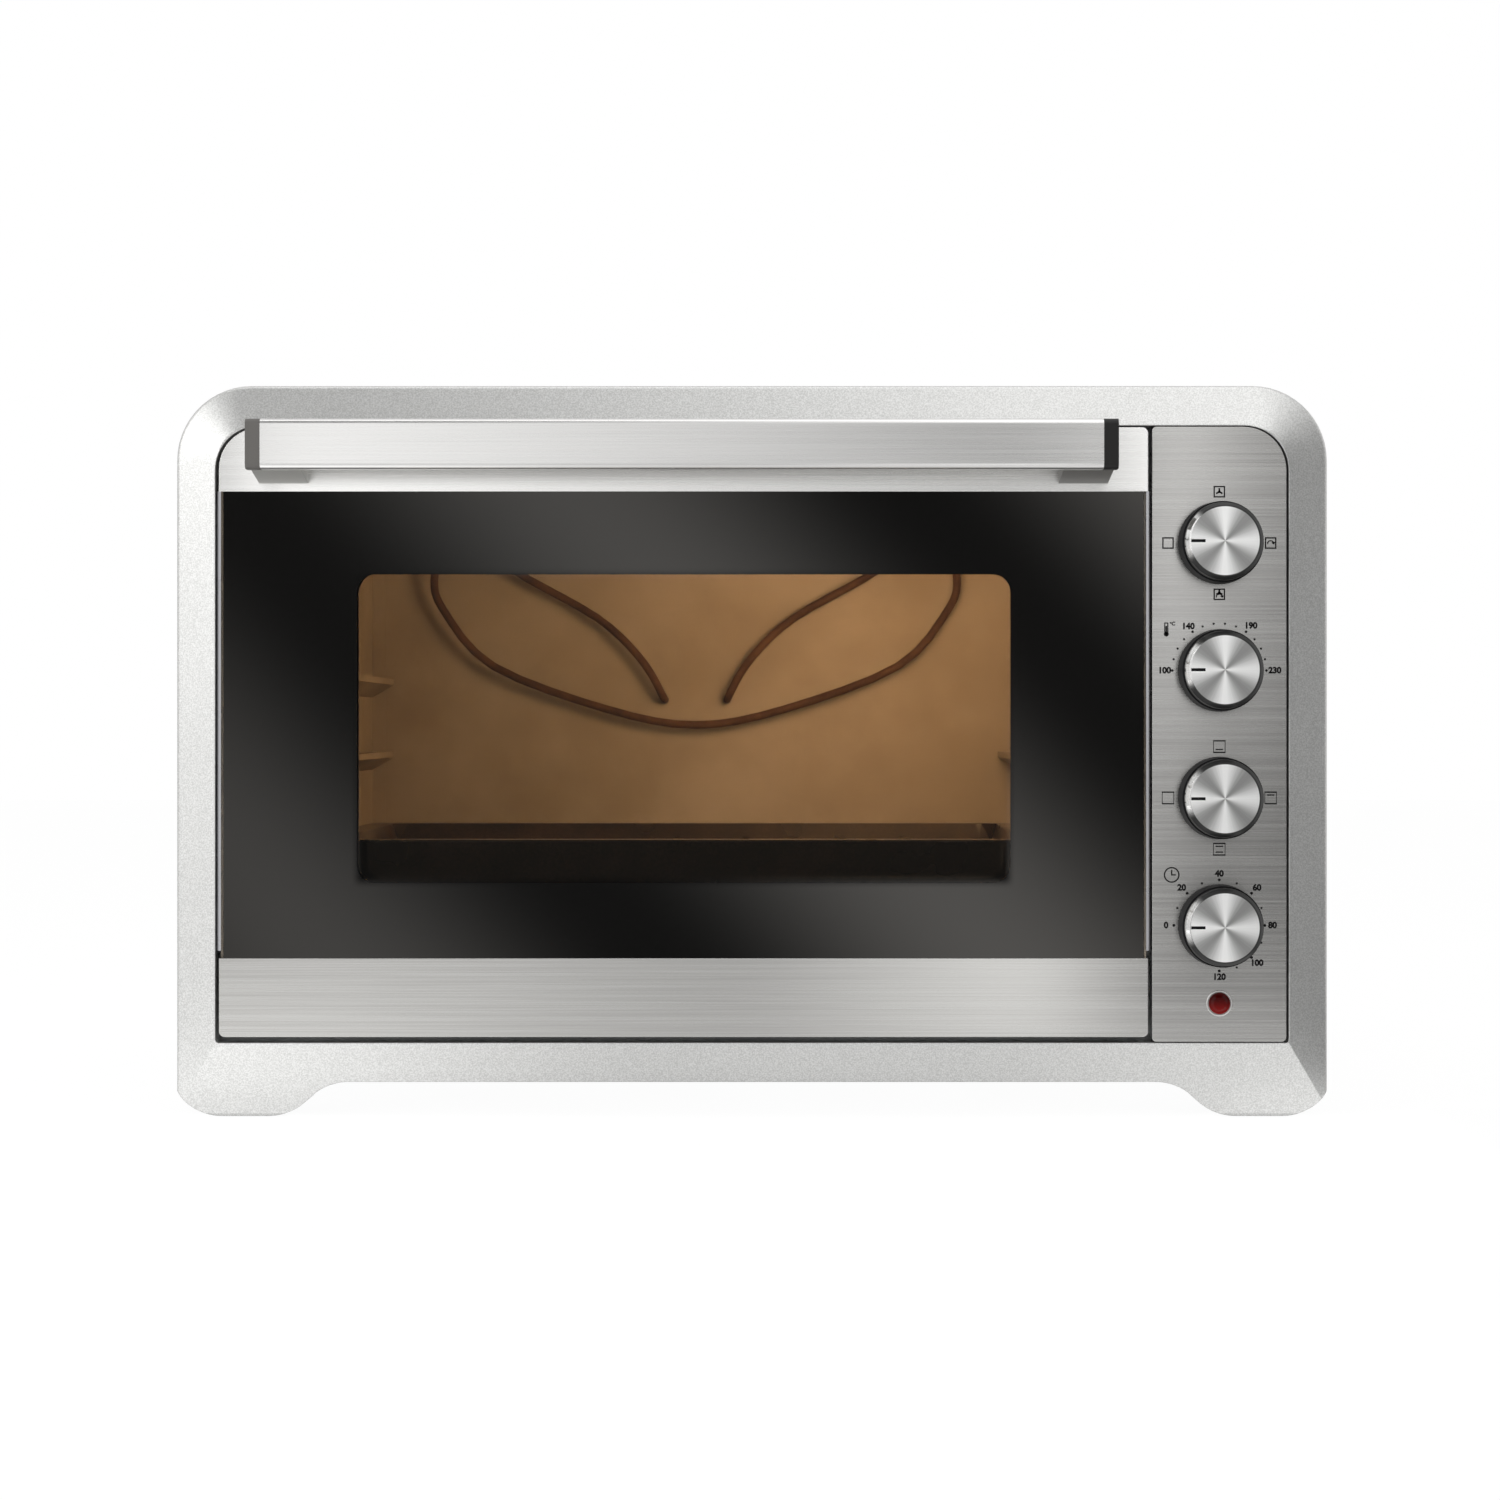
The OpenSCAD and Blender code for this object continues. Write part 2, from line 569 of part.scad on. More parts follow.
loop_half = concat(
    [[loop_exit[0], loop_back + sheet + 10, loop_exit[1]]],
    [for (a = [180:15:255]) let (p = leaf_start + elbow_r * cos(a) * leaf_in)
        [p[0], elbow_r + elbow_r * sin(a), p[1]]],
    [for (p = leaf_flat) [p[0], 0, p[1]]]);
loop_path = concat(loop_half, [for (i = [len(loop_half) - 2:-1:0]) [-loop_half[i][0], loop_half[i][1], loop_half[i][2]]]);
module rear_heater() color("saddlebrown") placed()
    translate([door_cx, cav_y1 - loop_back, cav_z0]) swept(loop_path, loop_r, 16);

// Lamp, fan and spit drive on the right of the cavity

module on_right_wall(y, z) translate([cav_x1, y, z]) rotate([0, 90, 0]) children();
module lamp_holder() color("white") placed() on_right_wall(lamp_y, lamp_z) difference() {
    union() {
        translate([0, 0, sheet]) cylinder(h = 2, r = lamp_r + 5);
        translate([0, 0, sheet]) cylinder(h = shield_side - 4, r = lamp_r - 3);
    }
    translate([0, 0, sheet - 1]) cylinder(h = shield_side - 6, r = lamp_r - 6);
}
module lamp_glass() color("ivory") placed() on_right_wall(lamp_y, lamp_z) rotate_extrude() polygon(concat(
    [[0, -11], [0, -9]], turned_dome(lamp_r - 2.5, 9), turned_back(lamp_r, 11)));
function turned_dome(r, h) = [for (i = [1:10]) let (a = 90 - i * 9) [r * cos(a), -h * sin(a)]];
function turned_back(r, h) = concat([[r - 2.5, sheet], [r, sheet]], [for (i = [0:9]) let (a = i * 9) [r * cos(a), -h * sin(a)]]);

fan_shaft_r = 2.5;
fan_gap = 4;
fan_depth = 12;
fan_hub_r = 8;
blade_count = 6;
blade_t = 1.2;
blade_pitch = 35;
module fan_wheel() color("gray") placed() on_right_wall(fan_y, fan_z) translate([0, 0, sheet + fan_gap]) {
    cylinder(h = fan_depth, r = fan_hub_r);
    translate([0, 0, fan_depth]) cylinder(h = shield_side - fan_gap - fan_depth + sheet + 10, r = fan_shaft_r);
    intersection() {
        cylinder(h = fan_depth, r = fan_d / 2);
        for (k = [0:blade_count - 1]) rotate([0, 0, k * 360 / blade_count])
            translate([0, 0, fan_depth / 2]) rotate([blade_pitch, 0, 0])
                translate([fan_hub_r - 2, -fan_depth, -blade_t / 2]) cube([fan_d / 2, 2 * fan_depth, blade_t]);
    }
}
stack_w = 56;
stack_h = 48;
stack_t = 16;
module fan_motor() color("gray") placed() translate([shield_x + sheet, fan_y, fan_z]) difference() {
    union() {
        bar(0, 6) polygon(rounded(-stack_w / 2, -10, stack_w / 2, 10, [4, 4, 4, 4]));
        bar(6, 6 + stack_t) polygon(rounded(-stack_w / 2, -stack_h / 2, stack_w / 2, stack_h / 2, [4, 4, 4, 4]));
        bar(6 + stack_t, 12 + stack_t) polygon(rounded(-stack_w / 2, -10, stack_w / 2, 10, [4, 4, 4, 4]));
        translate([1, 0, -stack_h / 2 - 2]) box(0, stack_t + 10, -14, 14, -6, 12);
    }
    xcyl(-1, 14 + stack_t, 0, 0, fan_shaft_r + run_gap);
}
spit_shaft_r = 4;
socket_r = 8;
socket_l = 14;
socket_w = 8.4;
gear_r = 25;
gear_t = 18;
module spit_socket() color("gray") placed() on_right_wall(spit_y, spit_z) difference() {
    union() {
        translate([0, 0, -move_gap - socket_l]) cylinder(h = socket_l, r = socket_r);
        translate([0, 0, -move_gap - eps]) cylinder(h = shield_side + 2 * sheet + move_gap + 10, r = spit_shaft_r);
    }
    translate([-socket_w / 2, -socket_w / 2, -move_gap - socket_l - 1]) cube([socket_w, socket_w, socket_l - 1]);
}
module spit_motor() color("gray") placed() translate([shield_x + sheet, spit_y, spit_z]) difference() {
    union() {
        xcyl(0, gear_t, 0, 0, gear_r);
        bar(0, 2) polygon(rounded(-gear_r - 9, -7, gear_r + 9, 7, [6, 6, 6, 6]));
    }
    xcyl(-1, gear_t + 1, 0, 0, spit_shaft_r + run_gap);
    for (s = [-1, 1]) xcyl(-1, 3, s * (gear_r + 4), 0, screw_r);
}
cradle_w = 26;
module spit_bracket() color("lightgrey") placed() translate([cav_x0, spit_y, spit_z]) {
    bar(0, 1.2) difference() {
        polygon(rounded(-cradle_w / 2, -12, cradle_w / 2, 12, [3, 3, 3, 3]));
        for (s = [-1, 1]) translate([s * 9, 0]) circle(screw_r);
    }
    bar(ledge_out - 2, ledge_out - 0.8) difference() {
        polygon(rounded(-10, -12, 10, 8, [3, 3, 1, 1]));
        circle(socket_r - 3);
        translate([-socket_r + 3, 0]) square([2 * socket_r - 6, 10]);
    }
    box(0, ledge_out - 0.8, -10, 10, -12, -10.8);
}

// Control panel and switches

function panel_outline(e) = rounded(panel_x0 + e, panel_z0 + e, panel_x1 - e, panel_z1 - e,
    [max(2 - e, 0.5), max(2.5 - e, 0.5), panel_corner_r - e, max(2 - e, 0.5)]);
module control_holes(y0, y1, shaft_hole, lens_hole) {
    for (i = [0:knob_count - 1]) ycyl(y0, y1, panel_cx, knob_z(i), shaft_hole / 2);
    ycyl(y0, y1, panel_cx, lens_z, lens_hole / 2);
}
module control_panel() color("darkgray") placed() difference() {
    slab(0, panel_rim) polygon(panel_outline(0));
    slab(panel_sheet, panel_rim + 1) polygon(panel_outline(panel_sheet));
    control_holes(-1, panel_rim + 1, bush_d + 2 * seat_gap, lens_d + 2 * seat_gap);
}
module control_bracket() color("lightgrey") placed() difference() {
    union() {
        slab(panel_rim, bracket_back) polygon(panel_outline(seat_gap));
        for (x = [panel_x0 + 3, panel_x1 - 3 - panel_sheet])
            box(x, x + panel_sheet, bracket_back - eps, plate_y, panel_z0 + 14, panel_z1 - 22);
    }
    control_holes(panel_rim - 1, bracket_back + 1, bush_d + 2 * seat_gap, lens_d + 2 * seat_gap);
}
bush_front = 4;
switch_l = 30;
module at_switch(i) translate([panel_cx, bracket_back, knob_z(i)]) rotate([-90, 0, 0]) children();
// Threaded bush in front of the bracket and the bore for the shaft
module switch_case(i) at_switch(i) difference() {
    union() {
        translate([0, 0, bush_front - bracket_back]) cylinder(h = bracket_back - bush_front + 1, d = bush_d);
        children();
    }
    translate([0, 0, -bracket_back - 1]) cylinder(h = bracket_back + switch_l - 6, r = shaft_d / 2 + run_gap);
}
module block(w, h, z0, z1) translate([0, 0, z0]) linear_extrude(height = z1 - z0)
    polygon(rounded(-w / 2, -h / 2, w / 2, h / 2, [3, 3, 3, 3]));
module tabs(n, w, z) for (k = [0:n - 1]) translate([(k - (n - 1) / 2) * w, 0, z])
    translate([-3.1, -0.4, 0]) cube([6.2, 0.8, 8]);
switch_w = 34;
switch_flange = 8;
switch_in = 2;
module rotary_switch(i) switch_case(i) {
    block(switch_w, switch_w, 0, switch_flange);
    block(switch_w - 2 * switch_in, switch_w - 2 * switch_in, switch_flange - eps, switch_l);
    tabs(3, switch_w / 4, switch_l - eps);
}
module function_switch() color("ivory") placed() rotary_switch(0);
stat_plate = [40, 22, 3];
stat_can = [36, 12];
stat_base = [26, 34];
module thermostat() color("gray") placed() switch_case(1) {
    block(stat_plate[0], stat_plate[1], 0, stat_plate[2]);
    translate([0, 0, stat_plate[2] - eps]) cylinder(h = stat_can[1], d = stat_can[0]);
    block(stat_base[0], stat_base[1], stat_plate[2] + stat_can[1] - 1, switch_l);
    tabs(2, stat_base[0] / 2, switch_l - eps);
}
module heat_switch() color("ivory") placed() rotary_switch(2);
timer_case = [46, 44, 22];
timer_neck = [12, 2];
timer_bell = [42, 36];
module timer() color("gray") placed() switch_case(3) {
    block(timer_case[0], timer_case[1], 0, timer_case[2]);
    translate([0, 0, timer_case[2] - eps]) cylinder(h = timer_neck[1], d = timer_neck[0]);
    translate([0, 0, timer_case[2] + timer_neck[1] - eps])
        cylinder(h = switch_l - timer_case[2] - timer_neck[1], d1 = timer_bell[0], d2 = timer_bell[1]);
}
lens_out = 2.2;
lens_rim = 1;
lens_rim_t = 0.6;
lens_deep = 6;
lens_taper = 1.4;
indicator_gap = 3;
module indicator_lens() color("red") placed() translate([panel_cx, 0, lens_z]) rotate([90, 0, 0]) {
    translate([0, 0, -lens_deep]) cylinder(h = lens_deep + eps, d = lens_d);
    cylinder(h = lens_rim_t, r = lens_d / 2 + lens_rim);
    translate([0, 0, lens_rim_t - eps])
        cylinder(h = lens_out - lens_rim_t, r1 = lens_d / 2, r2 = lens_d / 2 - lens_taper);
}
module indicator_body() color("white") placed()
    ycyl(lens_deep, plate_y - indicator_gap, panel_cx, lens_z, lens_d / 2);

// Knobs: a black core with a skirt, a spun metal cap with a slot, and the switch's shaft

knob_lift = 1;
skirt_top = knob_h * 0.65;
skirt_r = knob_d / 2 + 1.1;
cap_t = 1;
cap_edge = knob_h * 0.9;
mark_l = 7.4;
mark_w = 1.6;
mark_x = -knob_face_d / 2 + 0.9;
module at_knob(i) placed() translate([panel_cx, 0, knob_z(i)]) rotate([90, 0, 0]) children();
// Half profile of the cap's outer or inner surface
function cap_profile(e) = [[0, skirt_top], [knob_d / 2 - e, skirt_top], [knob_d / 2 - 0.4 - e, cap_edge - e],
    [knob_face_d / 2 - e * 0.6, knob_h - e], [0, knob_h - e]];
module mark(e, z0, z1) translate([mark_x - e, -mark_w / 2 - e, z0]) cube([mark_l + 2 * e, mark_w + 2 * e, z1 - z0]);
module shaft_form(e) difference() {
    cylinder(h = knob_h - 5 + e, r = shaft_d / 2 + e);
    translate([-shaft_d, shaft_d / 4 + e, 6]) cube([2 * shaft_d, shaft_d, knob_h]);
}
module knob_core(i) color("black") at_knob(i) difference() {
    union() {
        translate([0, 0, knob_lift]) cylinder(h = skirt_top - knob_lift, r1 = skirt_r, r2 = skirt_r - 0.5);
        rotate_extrude() polygon(cap_profile(cap_t + seat_gap));
        mark(-seat_gap / 2, knob_h - 4, knob_h);
    }
    shaft_form(run_gap);
}
module knob_cap(i) color("silver") at_knob(i) difference() {
    rotate_extrude() polygon(cap_profile(0));
    rotate_extrude() polygon(concat([[0, skirt_top - 1], [knob_d / 2 - cap_t, skirt_top - 1]],
        [for (k = [1:4]) cap_profile(cap_t)[k]]));
    mark(0, knob_h - 5, knob_h + 1);
}
module knob_shaft(i) color("gray") at_knob(i) {
    shaft_form(0);
    translate([0, 0, -bracket_back - switch_l + 8]) cylinder(h = bracket_back + switch_l - 8 + eps, r = shaft_d / 2);
}
module function_knob() knob_core(0);
module function_knob_cap() knob_cap(0);
module function_shaft() knob_shaft(0);
module thermostat_knob() knob_core(1);
module thermostat_knob_cap() knob_cap(1);
module thermostat_shaft() knob_shaft(1);
module heat_knob() knob_core(2);
module heat_knob_cap() knob_cap(2);
module heat_shaft() knob_shaft(2);
module timer_knob() knob_core(3);
module timer_knob_cap() knob_cap(3);
module timer_shaft() knob_shaft(3);

// Hinges in the door's lower corners

module hinge_eye(y1, z1, r) {
    translate([hinge_y, hinge_z]) circle(r);
    translate([hinge_y - (z1 > hinge_z ? r : 0), hinge_z - (z1 > hinge_z ? 0 : r)])
        square([z1 > hinge_z ? 2 * r : y1 - hinge_y, z1 > hinge_z ? z1 - hinge_z : 2 * r]);
}
flange_t = 1.5;
module hinge_brackets() color("gray") placed() door_sides() {
    bar(ear_x, ear_x + ear_t) difference() {
        hinge_eye(plate_back + flange_t, 0, hinge_r);
        translate([hinge_y, hinge_z]) circle(pin_r + run_gap);
    }
    box(ear_x - 7, ear_x + ear_t + 7, plate_back, plate_back + flange_t, hinge_z - 13, hinge_z + 11);
}
module hinge_pins() color("silver") placed() door_sides()
    xcyl(ear_x - 2, coil_end + 1, hinge_y, hinge_z, pin_r);
// One torsion spring as a single swept tube: a helix with a straight leg at each end
coil_steps = 12;
function coil_point(k) = let (a = 90 + k * 360 / coil_steps)
    [coil_x + wire_r + k * coil_pitch / coil_steps, hinge_y + coil_r * cos(a), hinge_z + coil_r * sin(a)];
coil_last = coil_turns * coil_steps - coil_steps / 4;
coil_gap = min([for (a = [0:coil_last], b = [a + coil_steps / 2:coil_last]) norm(coil_point(a) - coil_point(b))])
    - 2 * wire_r;
echo(hinge_spring_least_gap = coil_gap);
leg_back = plate_y - move_gap - hinge_y;
leg_up = pan_z0 - move_gap - hinge_z;
coil_path = concat(
    [[coil_x + wire_r, hinge_y + leg_back, hinge_z + coil_r]],
    [for (k = [0:coil_last]) coil_point(k)],
    [[coil_point(coil_last)[0], coil_point(coil_last)[1], hinge_z + leg_up]]);
module hinge_springs() color("silver") placed() door_sides() swept(coil_path, wire_r, 6);

// Door

function pan_outline(e) = rounded(door_x0 + e, pan_z0 + e - pan_in, door_x1 - e, door_z1 - e,
    [1, 1, max(3 - e, 1), door_corner_r - e]);
module door_pan() color("lightgrey") placed() {
    difference() {
        slab(pan_y, door_depth) polygon(pan_outline(pan_in));
        slab(pan_y - 1, door_depth - sheet) polygon(pan_outline(pan_in + sheet));
        slab(pan_y - 1, door_depth + 1) polygon(window_outline(2));
    }
    door_sides() bar(lug_x, lug_x + ear_t) difference() {
        hinge_eye(0, pan_z0 + sheet / 2, hinge_r);
        translate([hinge_y, hinge_z]) circle(pin_r + run_gap);
    }
}
function window_outline(e) = rounded(door_cx - window_w / 2 - e, window_z0 - e, door_cx + window_w / 2 + e,
    window_z1 + e, [for (k = [0:3]) window_r + e]);
module door_glass() color("black", 0.6) placed() slab(glass_y, glass_y + glass_t)
    polygon(rounded(door_x0 + sheet + seat_gap, glass_z0 - glass_lap, door_x1 - sheet - seat_gap, glass_z1 + glass_lap,
        [2, 2, 2, 2]));
module inner_glass() color("gray", 0.4) placed() slab(door_depth - sheet - glass_t, door_depth - sheet)
    polygon(window_outline(pane_lap));
clip_w = 20;
clip_y = door_depth - sheet - glass_t - sheet;
module glass_clips() color("gray") placed() door_sides() for (z = [window_z0 + 24, window_z1 - 24])
    translate([door_cx - window_w / 2 - pane_lap, 0, z - clip_w / 2]) linear_extrude(height = clip_w) polygon([
        [5, clip_y], [5, clip_y + sheet], [-seat_gap, clip_y + sheet], [-seat_gap, door_depth - sheet],
        [-10, door_depth - sheet], [-10, door_depth - 2 * sheet], [-seat_gap - sheet, door_depth - 2 * sheet],
        [-seat_gap - sheet, clip_y]]);
function trim_outline(e, z0, z1, r) = rounded(door_x0 + e, z0, door_x1 - e, z1, r);
trim_depth = door_depth - 2;
module door_top_trim() color("lightgrey") placed() difference() {
    slab(0, trim_depth) polygon(trim_outline(0, glass_z1, door_z1, [0, 0, 3, door_corner_r]));
    slab(sheet, trim_depth + 1)
        polygon(trim_outline(sheet, glass_z1 - 1, door_z1 - sheet, [0, 0, 2, door_corner_r - sheet]));
    door_sides() ycyl(-1, sheet + 1, handle_x0 + cap_w + post_w / 2, handle_z0 + handle_h / 2, screw_r + seat_gap);
}
low_trim_depth = 2 * hinge_y;
module door_bottom_trim() color("lightgrey") placed() difference() {
    slab(0, low_trim_depth) polygon(trim_outline(0, door_z0, glass_z0, [3, 3, 0, 0]));
    slab(sheet, low_trim_depth + 1) polygon(trim_outline(sheet, door_z0 + sheet, glass_z0 + 1, [2, 2, 0, 0]));
    door_sides() box(ear_x - 4, coil_end + 4, sheet, low_trim_depth + 1, door_z0 - 1, door_z0 + sheet + 1);
}
side_trim_w = 2.3;
side_trim_gap = 0.7;
side_trim_in = 0.2;
side_trim_slope = 1;
side_trim_lift = 4;
side_trim_out = min(door_gap_side, split_gap) - side_trim_gap;
module door_side_trims() color("silver") placed() door_sides()
    translate([door_x0 - side_trim_out, 0, glass_z0 + side_trim_lift])
        linear_extrude(height = glass_z1 - glass_z0 - side_trim_lift) polygon([
            [0, side_trim_in + side_trim_slope], [side_trim_slope, side_trim_in], [side_trim_w, side_trim_in],
            [side_trim_w, sheet], [side_trim_out + sheet, sheet], [side_trim_out + sheet, trim_depth], [0, trim_depth]]);

// Handle

function handle_profile(e) = rounded(-handle_reach + e, handle_z0 + e, handle_back - e, handle_z1 - e,
    [for (k = [0:3]) handle_r - e]);
module handle_bar() color("silver") placed() difference() {
    bar(handle_x0 + cap_w, handle_x0 + handle_l - cap_w) polygon(handle_profile(0));
    bar(handle_x0, handle_x0 + handle_l) polygon(handle_profile(handle_wall));
}
module handle_end_caps() color("black") placed() door_sides() {
    bar(handle_x0, handle_x0 + cap_w) polygon(handle_profile(0));
    bar(handle_x0 + cap_w - eps, handle_x0 + cap_w + 8) polygon(handle_profile(handle_wall + seat_gap / 2));
}
module handle_posts() color("gray") placed() door_sides() difference() {
    bar(handle_x0 + 1, handle_x0 + 1 + post_w) polygon([[handle_back, handle_z0 + 0.6], [0, handle_z0 - post_drop],
        [0, handle_z1 - 7], [handle_back, handle_z1 - 2]]);
    ycyl(handle_back / 2, 1, handle_x0 + cap_w + post_w / 2, handle_z0 + handle_h / 2, screw_r + seat_gap / 2);
}
module handle_screws() color("dimgray") placed() door_sides()
    translate([handle_x0 + cap_w + post_w / 2, 0, handle_z0 + handle_h / 2]) {
        ycyl(handle_back / 2 + 1, sheet + 1, 0, 0, screw_r);
        ycyl(sheet, sheet + 3, 0, 0, 2 * screw_r);
    }

// Baking tray: drafted walls under a flat rim that rides on the lowest ledges

tray_draft = 9;
tray_corner = 14;
tray_z0 = tray_z + tray_t - tray_h;
function taper(a0, a1, draft, z0, z1) = [[a0 + draft, z0], [a1 - draft, z0], [a1, z1], [a0, z1]];
module tray_form(e, z0, z1) intersection() {
    slab(tray_y0, tray_y0 + tray_d) polygon(taper(door_cx - tray_body_w / 2 + e, door_cx + tray_body_w / 2 - e, tray_draft, z0, z1));
    bar(cav_x0, cav_x1) polygon(taper(tray_y0 + tray_rim + e, tray_y0 + tray_d - tray_rim - e, tray_draft, z0, z1));
    translate([0, 0, tray_z0 - 1]) linear_extrude(height = tray_h + 2) polygon(rounded(
        door_cx - tray_body_w / 2 + e, tray_y0 + tray_rim + e, door_cx + tray_body_w / 2 - e, tray_y0 + tray_d - tray_rim - e,
        [for (k = [0:3]) tray_corner - e]));
}
module baking_tray() color("dimgray") placed() difference() {
    union() {
        tray_form(0, tray_z0, tray_z + eps);
        translate([0, 0, tray_z]) linear_extrude(height = tray_t) polygon(rounded(
            door_cx - tray_w / 2, tray_y0, door_cx + tray_w / 2, tray_y0 + tray_d, [for (k = [0:3]) tray_corner + 4]));
    }
    tray_form(tray_t, tray_z0 + tray_t, tray_z + tray_t + 1);
}

front_frame();
outer_shell();
back_panel();
base_plate();
front_plate();
cavity_ceiling();
cavity_floor();
cavity_back_wall();
cavity_left_wall();
cavity_right_wall();
heat_shield();
heater_rods();
rear_heater();
heater_insulators();
lamp_holder();
lamp_glass();
fan_motor();
fan_wheel();
spit_motor();
spit_socket();
spit_bracket();
control_panel();
control_bracket();
function_switch();
thermostat();
heat_switch();
timer();
indicator_lens();
indicator_body();
function_knob();
function_knob_cap();
function_shaft();
thermostat_knob();
thermostat_knob_cap();
thermostat_shaft();
heat_knob();
heat_knob_cap();
heat_shaft();
timer_knob();
timer_knob_cap();
timer_shaft();
hinge_brackets();
hinge_pins();
hinge_springs();
rear_feet();
front_foot_pads();
cord_gland();
casing_screws();
door_glass();
inner_glass();
door_pan();
door_top_trim();
door_bottom_trim();
door_side_trims();
glass_clips();
handle_bar();
handle_end_caps();
handle_posts();
handle_screws();
baking_tray();
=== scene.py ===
import math

import bpy
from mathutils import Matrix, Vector


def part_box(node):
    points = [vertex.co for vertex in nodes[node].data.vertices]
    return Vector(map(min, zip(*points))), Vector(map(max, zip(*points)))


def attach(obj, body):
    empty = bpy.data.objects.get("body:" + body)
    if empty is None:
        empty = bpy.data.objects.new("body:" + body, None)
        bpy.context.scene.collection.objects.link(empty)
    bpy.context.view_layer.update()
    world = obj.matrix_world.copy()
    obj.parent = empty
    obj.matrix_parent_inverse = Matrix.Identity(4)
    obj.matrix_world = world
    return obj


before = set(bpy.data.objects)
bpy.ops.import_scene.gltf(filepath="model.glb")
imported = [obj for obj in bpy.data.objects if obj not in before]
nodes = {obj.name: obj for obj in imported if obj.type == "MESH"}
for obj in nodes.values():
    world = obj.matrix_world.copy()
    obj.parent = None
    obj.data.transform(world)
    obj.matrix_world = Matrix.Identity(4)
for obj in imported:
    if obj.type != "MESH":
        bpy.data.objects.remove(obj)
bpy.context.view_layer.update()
print("frame loaded:", len(nodes), "nodes")

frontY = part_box("control_panel")[0].y  # plane of the door's face and the control panel


class Wire:  # a socket in a material, with maths on it

    def __init__(self, tree, socket):
        self.tree = tree
        self.socket = socket

    def plug(self, target, value):
        if isinstance(value, Wire):
            self.tree.links.new(value.socket, target)
        else:
            target.default_value = value

    def node(self, kind, settings=None, sockets=None, out=0):
        made = self.tree.nodes.new("ShaderNode" + kind)
        for key, value in (settings or {}).items():
            if key == "stops":  # a ramp's colours
                while len(made.color_ramp.elements) < len(value):
                    made.color_ramp.elements.new(0.5)
                for element, (place, colour) in zip(made.color_ramp.elements, value):
                    element.position = place
                    element.color = colour
            else:
                setattr(made, key, value)
        for key, value in (sockets or {}).items():
            self.plug(made.inputs[key], value)
        return Wire(self.tree, made.outputs[out])

    def maths(self, operation, first, second=None):
        sockets = {0: first}
        if second is not None:
            sockets[1] = second
        return self.node("Math", {"operation": operation}, sockets)

    def __add__(self, other):
        return self.maths("ADD", self, other)

    def __radd__(self, other):
        return self.maths("ADD", other, self)

    def __sub__(self, other):
        return self.maths("SUBTRACT", self, other)

    def __rsub__(self, other):
        return self.maths("SUBTRACT", other, self)

    def __mul__(self, other):
        return self.maths("MULTIPLY", self, other)

    def __rmul__(self, other):
        return self.maths("MULTIPLY", other, self)

    def __truediv__(self, other):
        return self.maths("DIVIDE", self, other)

    def __pow__(self, other):
        return self.maths("POWER", self, other)

    def cosine(self):
        return self.maths("COSINE", self)

    def step(self, low, high):  # 0 below low, 1 above high, smooth between
        return self.node("MapRange", {"interpolation_type": "SMOOTHSTEP"}, {0: self, 1: low, 2: high})

    def axis(self, name):
        return self.node("SeparateXYZ", None, {0: self}, "XYZ".index(name))

    def stretched(self, scale, place=(0, 0, 0)):  # moved, then stretched
        moved = self.node("VectorMath", {"operation": "SUBTRACT"}, {0: self, 1: place})
        return self.node("VectorMath", {"operation": "MULTIPLY"}, {0: moved, 1: scale})

    def noise(self, scale, detail=2.0, rough=0.5):
        sockets = {"Vector": self, "Scale": scale, "Detail": detail, "Roughness": rough}
        return self.node("TexNoise", None, sockets)

    def lines(self, detail):  # noise along this one value
        return self.node("TexNoise", {"noise_dimensions": "1D"}, {"W": self, "Scale": 1.0, "Detail": detail})

    def between(self, dark, light):  # a colour picked by this value
        return self.node("Mix", {"data_type": "RGBA"}, {0: self, 6: (*dark, 1), 7: (*light, 1)}, 2)

    def bump(self, strength, depth, edge=0.0):  # edge is the radius that sharp edges seem to have
        sockets = {"Strength": strength, "Distance": depth, "Height": self}
        if edge > 0:
            sockets["Normal"] = self.node("Bevel", {"samples": 4}, {"Radius": edge})
        return self.node("Bump", None, sockets)


shaderSockets = {"base": "Base Color", "rough": "Roughness", "metal": "Metallic", "coat": "Coat Weight",
                 "normal": "Normal", "glow": "Emission Color", "glowPower": "Emission Strength",
                 "clear": "Transmission Weight", "ior": "IOR", "stretch": "Anisotropic",
                 "stretchTurn": "Anisotropic Rotation", "specular": "Specular IOR Level",
                 "specularTint": "Specular Tint"}


def newFinish(name):  # a material, its shader and its object coordinates
    material = bpy.data.materials.new(name)
    material.use_nodes = True
    tree = material.node_tree
    shader = tree.nodes["Principled BSDF"]
    place = Wire(tree, tree.nodes.new("ShaderNodeTexCoord").outputs["Object"])
    return material, shader, place


def setShader(shader, place, **values):
    for key, value in values.items():
        target = shader.inputs[shaderSockets[key]]
        if isinstance(value, tuple) and len(value) == 3:
            value = (*value, 1)
        place.plug(target, value)


def dress(material, *names):  # gives CAD nodes their finish
    for name in names:
        mesh = nodes[name].data
        mesh.materials.clear()
        mesh.materials.append(material)


# finishes of the metal pieces

framePaint = {"light": (0.67, 0.67, 0.66), "dark": (0.46, 0.46, 0.45), "rough": 0.34, "metal": 0.75,
              "grain": 1400, "cloud": 14.0, "cloudShare": 0.2, "bump": 0.22, "depth": 0.00012,
              "edge": 0.0009}


def makeFramePaint():
    material, shader, place = newFinish("framePaint")
    sand = place.noise(framePaint["grain"], 3.0, 0.6)
    cloud = place.noise(framePaint["cloud"], 3.0)
    share = framePaint["cloudShare"]
    shade = sand.step(0.36, 0.64) * (1 - share) + cloud * share
    setShader(shader, place, base=shade.between(framePaint["dark"], framePaint["light"]),
              rough=sand * 0.12 + framePaint["rough"], metal=framePaint["metal"],
              normal=sand.bump(framePaint["bump"], framePaint["depth"], framePaint["edge"]))
    return material


